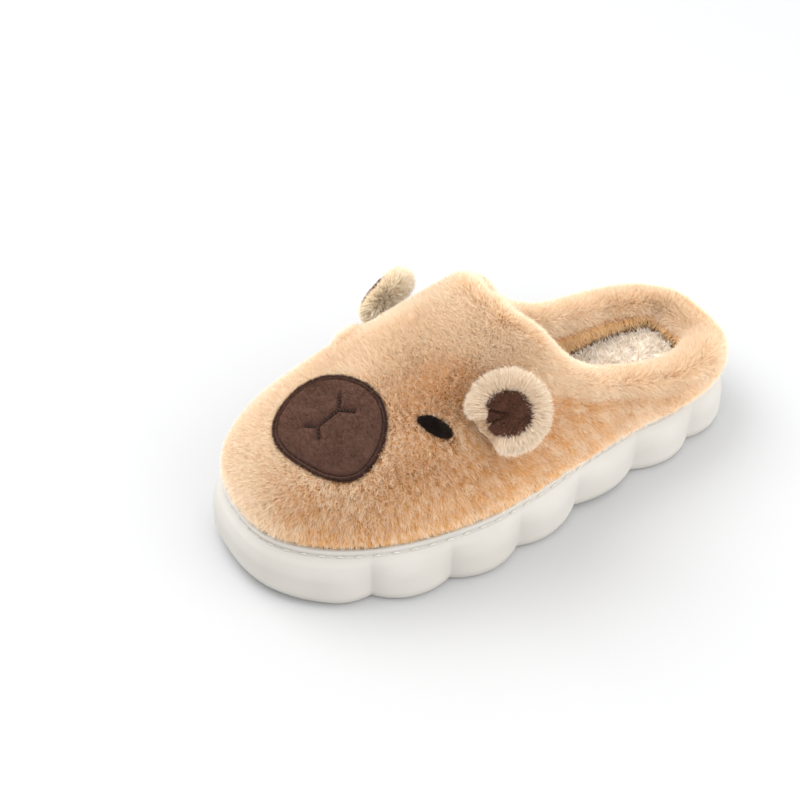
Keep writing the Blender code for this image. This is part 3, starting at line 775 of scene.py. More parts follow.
@dataclass
class Upper:
    """The plush upper: a backing surface over the last, and the pile that grows on it."""

    last: Last
    face: Face
    around: int = 360
    wall_rows: int = 34
    roll_rows: int = 24
    sole_height: float = 30.0
    sole_floor: float = 24.0
    foot_inset: float = 8.3
    clearance: float = 0.3
    peak_rise: float = 67.5
    collar_rise: float = 1.5
    hem_overhang: float = 8.0
    hem_rise: float = 3.0
    toe_wall: float = 12.0
    collar_wall: float = 23.0
    throat_roll: float = 20.0
    shoulder: float = 0.53
    medial_ease: float = 0.72
    opening_front: float = 120.0
    opening_back: float = 14.5
    pile: float = 3.8
    inner_pile: float = 3.0
    blades: int = 505000
    inner_blades: int = 110000

    def __post_init__(self) -> None:
        """Reads every column of the wall's table once, at each section."""
        last = self.last
        self.rim_row = self.wall_rows / (self.wall_rows + self.roll_rows + 1)
        run = last.perimeter * np.arange(self.around) / self.around
        self.edge, self.inward = last.at(run), last.inward(run)
        self.share = last.side_share(run)

        def read(name: str) -> np.ndarray:
            return self.soften(column(WALL, "section", name, self.share))

        front = self.opening_front - last.length / 2
        back = last.length / 2 - self.opening_back
        aim_y = front + (back - front) * read("aim")
        self.aim = np.stack([last.centre(aim_y / last.length + 0.5), aim_y], axis=1)
        self.thick = self.toe_wall + (self.collar_wall - self.toe_wall) * read("thick")
        self.roll = self.throat_roll + (self.collar_wall - self.throat_roll) * read("thick")
        lateral = run <= last.heel_run
        climb = self.soften(np.where(lateral, read("lateral"), read("medial")))
        self.rise = self.collar_rise + (self.peak_rise - self.collar_rise) * climb
        ease = (1.0 - self.medial_ease) * np.sin(math.pi * np.clip(self.share / 0.7, 0.0, 1.0))
        self.shoulders = self.shoulder * self.soften(np.where(lateral, 1.0, 1.0 - ease))
        self.lean, self.slope, self.pull = read("lean"), np.radians(read("slope")), read("pull")
        self.full, self.overhang = read("full"), self.hem_overhang * read("hem")

    def soften(self, values: np.ndarray) -> np.ndarray:
        """Evens values out round the closed outline: each with its neighbours, many times."""
        for _ in range(42):
            values = (np.roll(values, 1) + 2 * values + np.roll(values, -1)) / 4
        return values

    def middle(self) -> np.ndarray:
        """The wall's middle: in each section a cubic curve, upright at the foot and at its own slope at the rim.

        Returns:
            Rows from the foot to the rim, with a column for each section.
        """
        start = self.edge + self.inward * (self.foot_inset - self.overhang + self.thick / 2)[:, None]
        run = self.aim - start
        distance = np.hypot(*run.T)
        reach = distance * self.lean
        chord = np.hypot(reach, self.rise) * self.pull
        none = np.zeros_like(reach)
        knots_x = np.stack([none, none, reach - chord * np.cos(self.slope), reach])
        knots_z = np.stack([none, self.shoulders * self.rise, self.rise - chord * np.sin(self.slope), self.rise])
        t = np.linspace(0.0, 1.0, self.wall_rows)
        share = np.stack([(1 - t) ** 3, 3 * t * (1 - t) ** 2, 3 * t**2 * (1 - t), t**3], axis=1)
        plan = start[None] + (run / distance[:, None])[None] * (share @ knots_x)[:, :, None]
        height = share @ knots_z + self.sole_height + self.clearance + self.hem_rise
        return np.concatenate([plan, height[:, :, None]], axis=2)

    def skin(self, inset: float) -> tuple[np.ndarray, np.ndarray, np.ndarray]:
        """The wall's skin as three grids.

        Args:
            inset: how far the outer skin and the roll lie under the tips of the pile.

        Returns:
            The outer face from the hem to the rim, the roll over the rim, and the inner face down to the seat:
            middle +- normal (thickness / 2 - inset), with a half ellipse over the rim.
        """
        middle = self.middle()
        around = unit(np.roll(middle, -1, axis=1) - np.roll(middle, 1, axis=1))
        climb = np.gradient(middle, axis=0)
        climb[0] = (0.0, 0.0, 1.0)
        outward = unit(np.cross(around, climb))
        grow = smooth_step(np.linspace(0.0, 1.0, self.wall_rows))[:, None]
        half = (self.thick + (self.roll - self.thick) * grow)[:, :, None] / 2
        outer = middle + outward * half
        recess = self.face.recess(outer)
        patches = np.minimum(self.face.nose().radius(outer), 9.0)
        for side in Side:
            patches = np.minimum(patches, 0.5 + 0.5 * self.face.eye(side).radius(outer))
        sink = inset * fade_in(patches, 0.9, 0.35)
        outer = outer - outward * np.maximum(recess, sink)[:, :, None]
        inner = middle - outward * (half - inset * 0.4 * grow[:, :, None])
        over = np.cross(outward[-1], around[-1])
        turn = np.linspace(0.0, math.pi, self.roll_rows + 2)[:, None, None]
        slim = half[-1] - inset
        swing = outward[-1] * slim * np.cos(turn) + over * slim * self.full[:, None] * np.sin(turn)
        roll = middle[-1] + swing
        inner[-1] = roll[-1]
        seat = np.concatenate([inner[0][:, :2], np.full((self.around, 1), self.sole_floor + self.clearance)], axis=1)
        return outer, roll, np.concatenate([inner[::-1], seat[None]])

    def build_backing(self) -> bpy.types.Object:
        """The cloth that the pile grows from: foot, hem, outer face, roll and inner face in one closed skin.

        Returns:
            The backing.
        """
        outer, roll, inner = self.skin(self.pile)
        foot = self.edge + self.inward * self.foot_inset
        hem = self.edge + self.inward * (self.foot_inset - self.overhang * 0.8 + self.pile * 0.7)[:, None]
        seat, lip = self.sole_floor + self.clearance, self.sole_height + self.clearance
        under = [
            np.concatenate([plan, np.full((self.around, 1), height)], axis=1)
            for plan, height in ((foot, seat), (foot, lip), (hem, lip + self.clearance))
        ]
        rows = np.concatenate([np.stack(under), outer, roll[1:-1], inner])
        quads = grid_quads(len(rows), self.around)
        first, last = np.arange(self.around), (len(rows) - 1) * self.around + np.arange(self.around)
        ring = np.stack([last, np.roll(last, -1), np.roll(first, -1), first], axis=1)
        # The backing's dark colour is painted shade between the blades.
        return dress(make_piece("upper_backing", rows, np.concatenate([quads, ring])), BACKING_PAINTED_SHADE)

    def lean_field(self, roots: Roots, flop: float) -> np.ndarray:
        """The way the blades lean: down the slope, most at the hem, out from the nose and in round the eyes.

        Args:
            roots: where the blades grow.
            flop: how far they lean down the slope.

        Returns:
            Each blade's lean.
        """
        down = np.array([0.0, 0.0, -1.0])
        fall = down - roots.normal * (roots.normal @ down)[:, None]
        hem = 1.0 - fade_in(roots.place[:, 2], self.sole_height + 4.0, 7.0)
        lean = fall * (flop + 0.55 * hem)[:, None]
        spots = [(self.face.nose(), 0.15)] + [(self.face.eye(side), -0.15) for side in Side]
        for spot, force in spots:
            near = 1.0 - fade_in(spot.radius(roots.place), 1.0, 0.7)
            away = np.concatenate([roots.place[:, :2] - spot.centre, np.zeros((len(roots.place), 1))], axis=1)
            away = unit(away - roots.normal * (away * roots.normal).sum(-1, keepdims=True))
            lean = lean * (1.0 - near[:, None]) + away * (near * force)[:, None]
        front = unit(np.array([-0.25, -1.0, 0.0]))
        flat = front - roots.normal * (roots.normal @ front)[:, None]
        level = fade_in(roots.normal[:, 2], 0.5, 0.4)
        wander = Ripple(30.0, 3).slope(roots.place) * 0.15
        return lean + flat * (level * 0.2)[:, None] + wander

    def gold(self, roots: Roots) -> np.ndarray:
        """How golden the coat is, 0 to 1.

        Outside it is lateral (1 - 0.65 rearward) (1 - toe) (1 - pale), so it is most on the lateral half of the vamp
        and side. Pale is the greatest of the top, the peak and the band along the rim, and is painted highlight: fur
        that faces up, fur high on the peak and fur along the rim are made paler, as where the lamps light them. The
        paler toe and medial side are also painted light from the key lamp at the upper left. The roll's last rows are
        golden again.

        Args:
            roots: where the blades grow.

        Returns:
            A value for each blade.
        """
        x, y, z = roots.place.T
        row = roots.row - self.rim_row
        # Painted light: gold is kept off the toe and the medial side, so the fur that the key lamp lights stays pale.
        lateral = fade_in(x - self.last.shift, 9.0, 24.0)
        rearward = fade_in(y, -5.0, 75.0)
        toe = 0.55 * (1.0 - fade_in(y, -124.0, 26.0))
        # Painted highlight: fur that faces up, high on the peak and in the band along the rim is paler, as lit fur.
        top = fade_in(roots.normal[:, 2], 0.35, 0.4) * fade_in(y, -22.0, 26.0)
        pale = np.maximum.reduce([top, fade_in(z, 90.0, 14.0), fade_in(row, -0.16, 0.08)])
        inside = fade_in(row, 0.86 * (1.0 - self.rim_row), 0.12) * fade_in(y, -10.0, 10.0)
        return np.maximum(lateral * (1.0 - 0.65 * rearward) * (1.0 - toe) * (1.0 - pale), inside)

    def coat(self, name: str, roots: Roots, finish: bpy.types.Material, pile: Pile, stand: float) -> bpy.types.Object:
        """Grows one piece of the coat.

        Args:
            name: the piece's name.
            roots: where its blades grow.
            finish: its material.
            pile: the blades' make.
            stand: the blades' mean length.

        Returns:
            The piece. Blades are shorter by the nose and the lateral eye and longer by the medial eye, and paler
            near both. A blade's tone falls with gold, whose pale parts are partly painted highlight; it is darker
            between clumps and paler at their centres, which is painted shade in the gaps, and it varies in random
            flecks.
        """
        rng = np.random.default_rng(len(roots.place))
        lean = self.lean_field(roots, 0.30) + rng.normal(0, 0.30, roots.place.shape)
        clump = Ripple(pile.clump_size, pile.seed).value(roots.place)
        broad = Ripple(24.0, 8).value(roots.place)
        halo = 1.0 - fade_in(self.face.nose().radius(roots.place), 1.0, 0.45)
        eyes, hidden = (1.0 - fade_in(self.face.eye(side).radius(roots.place), 1.0, 1.2) for side in Side)
        length = stand * rng.uniform(0.85, 1.15, len(lean))
        length *= (1.0 - 0.3 * halo) * (1.0 - 0.5 * eyes) * (1.0 + 0.7 * hidden)
        halo = np.maximum(halo, 0.6 * eyes)
        gold = self.gold(roots)
        # Painted shade: blades between clumps are darker and those at clump centres paler; the noise adds random
        # flecks.
        gap_shade_and_fleck = 1.7 * clump + rng.normal(0, 0.9, len(lean))
        tone = 0.86 + 0.05 * broad + 0.08 * halo - gold * (1.0 - 0.8 * halo) * 0.42 + gap_shade_and_fleck * (0.05 + 0.34 * gold)
        back = (roots.place[:, 1] + self.last.length / 2) / self.last.length
        floor = self.sole_height + 0.8 - 6.0 * fade_in(back, 0.35, 0.35)
        piece = pile.grow(name, roots, lean, length, tone, floor)
        piece.data.materials.append(finish)
        return piece

    def build_coat(self) -> list[bpy.types.Object]:
        """The whole coat: toe, both sides and the collar, with the inner side of the collar.

        Returns:
            The pieces of the coat.
        """
        rng = np.random.default_rng(21)
        outer, roll, inner = self.skin(self.pile)
        roots = scatter(np.concatenate([outer, roll[1:]]), self.blades, rng)
        clear = self.face.nose().radius(roots.place) > 1.0
        for side in Side:
            clear &= self.face.eye(side).radius(roots.place) > 0.94
        roots = roots.keep(clear)
        fur, lining = FUR.build(), INNER_FUR.build()
        pile = Pile(width=0.36, clump=0.35, clump_size=1.9, bent=False)
        toe_end, vamp_end, lateral = -62.0, -5.0, roots.place[:, 0] > self.last.shift + 6.0
        y = roots.place[:, 1]
        bands = {
            "fur_toe": y < toe_end,
            "fur_vamp": (y >= toe_end) & (y < vamp_end),
            "fur_side_lateral": (y >= vamp_end) & lateral,
            "fur_side_medial": (y >= vamp_end) & ~lateral,
        }
        made = [self.coat(name, roots.keep(mask), fur, pile, self.pile) for name, mask in bands.items()]
        inside = scatter(inner[:-1], self.inner_blades, rng)
        inside = inside.keep(inside.place[:, 1] > -12)
        if np.mean(inside.normal[:, 0] * (inside.place[:, 0] - self.last.shift)) > 0:
            inside.normal = -inside.normal
        pile = Pile(width=0.36, clump=0.35, clump_size=2.2, bent=False)
        made.append(self.coat("fur_inner", inside, lining, pile, self.inner_pile))
        log.info("coat: %d outer blades, %d inner", len(roots.place), len(inside.place))
        return made


@dataclass
class Patch:
    """A puffed cloth patch on the head: a polar grid over the backing, with a stitched rim."""

    name: str
    spot: Spot
    thickness: float
    gap: float = 0.5
    rings: int = 60
    around: int = 180
    rim: float = 0.0
    groove: float = 0.935
    welt: float = 0.968

    def fit(self, upper: Upper) -> None:
        """Fits z = a cubic polynomial of x and y to the backing under the patch, by least squares.

        Args:
            upper: the upper that the patch sits on.
        """
        skin = upper.skin(0.0)[0].reshape(-1, 3)
        near = skin[self.spot.radius(skin) < 1.05]
        self.weights = np.linalg.lstsq(self._terms(near), near[:, 2], rcond=None)[0]
        plan = self.spot.polar(np.linspace(0, 1, 9)[:, None], np.linspace(0, 6.28, 24)[None])
        base = self.lift(plan)
        step = 0.5
        dx = (self.lift(plan + [step, 0])[..., 2] - base[..., 2]) / step
        dy = (self.lift(plan + [0, step])[..., 2] - base[..., 2]) / step
        self.facing = unit(np.mean(np.stack([-dx, -dy, np.ones_like(dx)], axis=-1), axis=(0, 1)))

    def _terms(self, points: np.ndarray) -> np.ndarray:
        """1, x, y, x^2, xy, y^2, x^3, x^2 y, x y^2, y^3 about the patch's centre."""
        x, y = (points[..., 0] - self.spot.centre[0]) / 20, (points[..., 1] - self.spot.centre[1]) / 20
        return np.stack([x**0, x, y, x * x, x * y, y * y, x**3, x * x * y, x * y * y, y**3], axis=-1)

    def lift(self, plan: np.ndarray) -> np.ndarray:
        """The backing's points above plan points."""
        return np.concatenate([plan, (self._terms(plan) @ self.weights)[..., None]], axis=-1)

    def crown(self, radius: np.ndarray) -> np.ndarray:
        """The puff's height: thickness (0.25 + 0.75 (1 - r^4)), less a groove near the rim and with a welt on it.

        Args:
            radius: shares of the rim's radius.

        Returns:
            The height at each place.
        """
        swell = self.thickness * (0.25 + 0.75 * (1.0 - radius**4))
        groove = np.exp(-(((radius - self.groove) / 0.02) ** 2)) * 1.4
        welt = np.exp(-(((radius - self.welt) / 0.02) ** 2)) * 0.5
        return swell + self.rim * (welt - groove)

    def surface(self, plan: np.ndarray, more: np.ndarray | float = 0.0) -> np.ndarray:
        """The patch's top over plan points."""
        height = self.gap + self.crown(np.clip(self.spot.radius(plan), 0, 1)) + more
        return self.lift(plan) + self.facing * height[..., None]

    def build(self) -> bpy.types.Object:
        """The patch as one closed grid: out over the top, round the rim and back in underneath.

        Returns:
            The patch.
        """
        angle = np.arange(self.around) * 2 * math.pi / self.around
        radius = np.sin(np.linspace(0.02, math.pi / 2, self.rings))[:, None]
        plan = self.spot.polar(radius, angle[None])
        top = self.surface(plan, -self.pressed(plan))
        edge = self.lift(self.spot.polar(np.ones((1, 1)), angle[None])) + self.facing * self.gap
        base = self.lift(self.spot.polar(radius[::-4] * 0.97, angle[None])) + self.facing * self.gap * 0.6
        return closed_piece(self.name, np.concatenate([top, edge, base]), turned=True)

    def pressed(self, plan: np.ndarray) -> np.ndarray:
        """How far stitches press the top in: nothing on a plain patch."""
        return np.zeros(plan.shape[:-1])

    def fuzz(
        self, name: str, count: int, length: float, width: float, seed: int, start: float = 0.0
    ) -> bpy.types.Object:
        """Short nap on the top, or only near the rim.

        Args:
            name: the piece's name.
            count: how many blades.
            length: their length.
            width: their width.
            seed: the nap's seed.
            start: the least radius that has nap.

        Returns:
            The piece.
        """
        rng = np.random.default_rng(seed)
        radius = np.sqrt(rng.uniform(start**2, 1.0, count))
        angle = rng.uniform(0, 2 * math.pi, count)
        plan = self.spot.polar(radius, angle)
        place = self.surface(plan, -self.pressed(plan))
        out = unit(np.concatenate([plan - self.spot.centre, np.zeros((count, 1))], axis=1))
        out = unit(out - self.facing * (out @ self.facing)[:, None])
        normal = unit(self.facing + out * (radius**6)[:, None] * 1.2)
        roots = Roots(place - normal * 0.1, normal, radius)
        lean = out * (0.2 + 0.5 * radius**4)[:, None] + rng.normal(0, 0.35, (count, 3))
        tone = 0.45 + 0.3 * Ripple(6.0, seed).value(place) + rng.normal(0, 0.28, count)
        pile = Pile(width, roll=1.4, droop=0.1, clump=0.15, clump_size=2.0, seed=seed, bent=False)
        return pile.grow(name, roots, lean, length * rng.uniform(0.6, 1.2, count), tone)


@dataclass
class Nose(Patch):
    """The nose: a patch with a pressed mark, a short line that forks at each end."""

    mark: tuple[tuple[tuple[float, float], ...], ...] = ()

    def strokes(self) -> list[np.ndarray]:
        """Each stroke of the mark as plan points."""
        return [self.spot.centre + np.linspace(*np.array(line), 9) for line in self.mark]

    def pressed(self, plan: np.ndarray) -> np.ndarray:
        """A trough of 1.7 exp(-d^2) + 1.1 exp(-(d / 2.6)^2) along each stroke, the deepest winning.

        Args:
            plan: plan points.

        Returns:
            The depth at each point.
        """
        depth = np.zeros(plan.shape[:-1])
        for stroke in self.strokes():
            a, b = stroke[0], stroke[-1]
            t = np.clip(((plan - a) @ (b - a)) / ((b - a) @ (b - a)), 0.0, 1.0)
            gap = np.linalg.norm(plan - (a + t[..., None] * (b - a)), axis=-1)
            depth = np.maximum(depth, 1.7 * np.exp(-(gap**2)) + 1.1 * np.exp(-((gap / 2.6) ** 2)))
        return depth

    def build_threads(self) -> list[bpy.types.Object]:
        """Embroidery along the mark and two rows of stitches round the rim.

        Returns:
            The mark and the rim's stitches.
        """
        lift, rim_lift, rim_length = 0.55, 0.25, 130.0
        paths = []
        for stroke in self.strokes():
            count = max(2, round(float(np.linalg.norm(stroke[-1] - stroke[0]) / 1.5)))
            for start in np.arange(count) / count:
                share = np.linspace(start, start + 0.8 / count, 6)[:, None]
                plan = stroke[0] + share * (stroke[-1] - stroke[0])
                paths.append(self.surface(plan, -self.pressed(plan) + lift))
        mark = make_piece("nose_mark", *tubes(paths, 0.62))
        paths = []
        for radius, pitch in ((self.groove, 2.4), (0.985, 2.9)):
            count = round(rim_length / pitch)
            for start in np.arange(count) * 2 * math.pi / count:
                angle = np.linspace(start, start + 0.85 * 2 * math.pi / count, 6)
                plan = self.spot.polar(np.full(6, radius), angle)
                paths.append(self.surface(plan, rim_lift + 0 * angle))
        rim = make_piece("nose_stitches", *tubes(paths, 0.30))
        thread = THREAD.build()
        for piece in (mark, rim):
            piece.data.materials.append(thread)
        return [mark, rim]


@dataclass
class Ear:
    """A round ear: a tan back, a ring of cream pile round its rim, and a folded brown lining in front."""

    side: Side
    middle: np.ndarray
    sink: float = 4.5
    yaw: float = 56.0
    tilt: float = 32.0
    radius: float = 18.2
    thickness: float = 12.0
    pile: float = 5.0
    lining: float = 10.4
    blades: int = 16000
    nap: int = 9000
    opening: float = 222.0
    fold: float = 193.0
    creases: tuple[float, float] = (172.0, 214.0)

    def __post_init__(self) -> None:
        """Turns the yaw and tilt into the ear's own axes, and sets it below the lining's middle."""
        yaw, tilt, sign = math.radians(self.yaw), math.radians(self.tilt), self.side.value
        self.facing = np.array([sign * math.sin(yaw) * math.cos(tilt), -math.cos(yaw) * math.cos(tilt), math.sin(tilt)])
        self.across = np.array([math.cos(yaw), sign * math.sin(yaw), 0.0])
        self.up = np.cross(self.facing, self.across)
        self.up *= math.copysign(1.0, self.up[2])
        self.centre = self.middle - self.facing * self.sink
        self.word = self.side.name.lower()

    def put(self, x: np.ndarray, y: np.ndarray, z: np.ndarray) -> np.ndarray:
        """Points from the ear's own axes: across, up and out of its face."""
        return self.centre + x[..., None] * self.across + y[..., None] * self.up + z[..., None] * self.facing

    def pad(self, around: int = 96, rows: int = 28) -> np.ndarray:
        """The pad under the pile: a ring whose section is a flat ellipse, from the lining's edge round to the back.

        Args:
            around: columns round the ring.
            rows: rows across its section.

        Returns:
            The pad's points.
        """
        turn = np.linspace(math.radians(150), math.radians(-175), rows)[:, None]
        middle = (self.radius - self.pile + 3.0) / 2 + 1.5
        wide = (self.radius - self.pile) - middle
        angle = np.arange(around)[None] * 2 * math.pi / around
        r = np.maximum(middle + wide * np.cos(turn), 0.3) + 0 * angle
        z = (self.thickness / 2 - 2.5) * np.sin(turn) + 0 * angle
        return self.put(r * np.cos(angle), r * np.sin(angle), z)

    def build(self) -> list[bpy.types.Object]:
        """The pad and its pile: blades run outwards, and are short and golden at the ring's opening.

        Returns:
            The pad, the pile of its front and that of its back.
        """
        rng = np.random.default_rng(31 + self.side.value)
        grid = self.pad()
        made = [dress(closed_piece(f"ear_pad_{self.word}", grid), BACKING_PAINTED_SHADE)]

        roots = scatter(grid, self.blades, rng)
        flat = roots.place - self.centre
        out = flat - self.facing * (flat @ self.facing)[:, None]
        reach = np.linalg.norm(out, axis=-1)
        out = unit(out)
        if np.mean((roots.normal * out).sum(-1)[reach > self.radius * 0.6]) < 0:
            roots.normal = -roots.normal
        front = fade_in(roots.normal @ self.facing, -0.55, 0.5)
        turn = np.arctan2(out @ self.up, out @ self.across * self.side.value)
        from_opening = np.abs(np.angle(np.exp(1j * (turn - math.radians(self.opening)))))
        base = 1.0 - fade_in(from_opening, 0.3, 0.45)
        spread = np.clip(reach / 10.0, 0.1, 1.0) * (1.0 - front) + front
        lean = out * ((0.8 + 0.55 * front) * spread)[:, None] - roots.normal * 0.15 + rng.normal(0, 0.26, flat.shape)
        length = self.pile * (1.0 + 0.12 * front) * rng.uniform(0.85, 1.12, len(front)) * (1.0 - 0.85 * base)
        height = fade_in(flat @ self.up / self.radius, -0.6, 0.8)
        tone = 0.30 + 0.35 * height * (1.0 - front) + 0.50 * front * (1.0 - 0.8 * base)
        tone += 0.12 * fade_in(reach / self.radius, 0.55, 0.2) + rng.normal(0, 0.12, len(front))
        pile = Pile(0.42, roll=0.9, droop=0.02, clump=0.5, clump_size=3.2, seed=9)
        # The medial ear wears the brighter copy, painted light on an ear the lamps leave in shade. Back fur tones are
        # lifted by 0.42 on both ears, and the medial ear's front by 0.1.
        coats = {Side.LATERAL: (EAR_COAT, FUR), Side.MEDIAL: (PAINTED_LIGHT_EAR, PAINTED_LIGHT_EAR)}[self.side]
        for name, mask, finish in (("ear_fur", front > 0.4, coats[0]), ("ear_back_fur", front <= 0.4, coats[1])):
            shade = tone[mask] + (0.0 if finish is EAR_COAT else 0.42 if name == "ear_back_fur" else 0.1)
            coat = pile.grow(f"{name}_{self.word}", roots.keep(mask), lean[mask], length[mask], shade)
            made.append(dress(coat, finish))
        return made

    def along(self, x: np.ndarray, y: np.ndarray, turn: float) -> tuple[np.ndarray, np.ndarray]:
        """How far points lie along a ray from the middle at this angle, and to its side."""
        ray = math.cos(math.radians(turn)), math.sin(math.radians(turn))
        return x * ray[0] + y * ray[1], y * ray[0] - x * ray[1]

    def dish(self, x: np.ndarray, y: np.ndarray) -> np.ndarray:
        """The lining's height: a dome 3.8 + 3 sqrt(1 - r^2.6), less a V-shaped fold from its lower toe side.

        The V is a dip between two creases of 3.4 exp(-(d / 0.8)^2), the deepest winning.

        Args:
            x: places across the ear.
            y: places up it.

        Returns:
            The height at each place.
        """
        r = np.hypot(x, y) / self.lining
        dome = 3.8 + 3.0 * np.sqrt(np.clip(1.0 - r**2.6, 0.0, 1.0))
        along, off = self.along(x, y, self.fold)
        fold = 1.6 * fade_in(along, -1.0, 3.0) * (1.0 - fade_in(np.abs(off) - 0.36 * along, 0.0, 1.2))
        for turn in self.creases:
            along, off = self.along(x, y, turn)
            fold = np.maximum(fold, 3.4 * np.exp(-((off / 0.8) ** 2)) * fade_in(along, -1.0, 3.0))
        return dome - fold

    def build_lining(self) -> list[bpy.types.Object]:
        """The velvet lining and its nap.

        Returns:
            The lining and its nap.
        """
        rng = np.random.default_rng(51 + self.side.value)
        around, rows = 120, 30
        radius = self.lining * np.sin(np.linspace(0.02, math.pi / 2, rows))[:, None]
        angle = np.arange(around)[None] * 2 * math.pi / around
        x, y = radius * np.cos(angle), radius * np.sin(angle)
        top = self.put(x, y, self.dish(x, y))
        skirt = self.put(x[-1:] * 0.96, y[-1:] * 0.96, np.full((1, around), 1.0))
        cloth = closed_piece(f"ear_lining_cloth_{self.word}", np.concatenate([top, skirt]), turned=True)
        r = self.lining * np.sqrt(rng.random(self.nap))
        a = rng.uniform(0, 2 * math.pi, self.nap)
        x, y = r * np.cos(a), r * np.sin(a)
        out = unit(self.put(x, y, 0 * x) - self.centre)
        normal = unit(self.facing + out * ((r / self.lining) ** 4)[:, None] * 1.5)
        roots = Roots(self.put(x, y, self.dish(x, y)), normal, r)
        tone = 0.78 + 0.3 * Ripple(5.0, 4).value(roots.place) + rng.normal(0, 0.28, self.nap)
        lean, length = rng.normal(0, 0.4, (self.nap, 3)), rng.uniform(0.6, 1.3, self.nap)
        pile = Pile(0.3, roll=1.4, droop=0.1, clump=0.1, clump_size=2.0, seed=12, bent=False)
        nap = pile.grow(f"ear_nap_{self.word}", roots, lean, length, tone)
        return [dress(cloth, VELVET), dress(nap, NAP)]


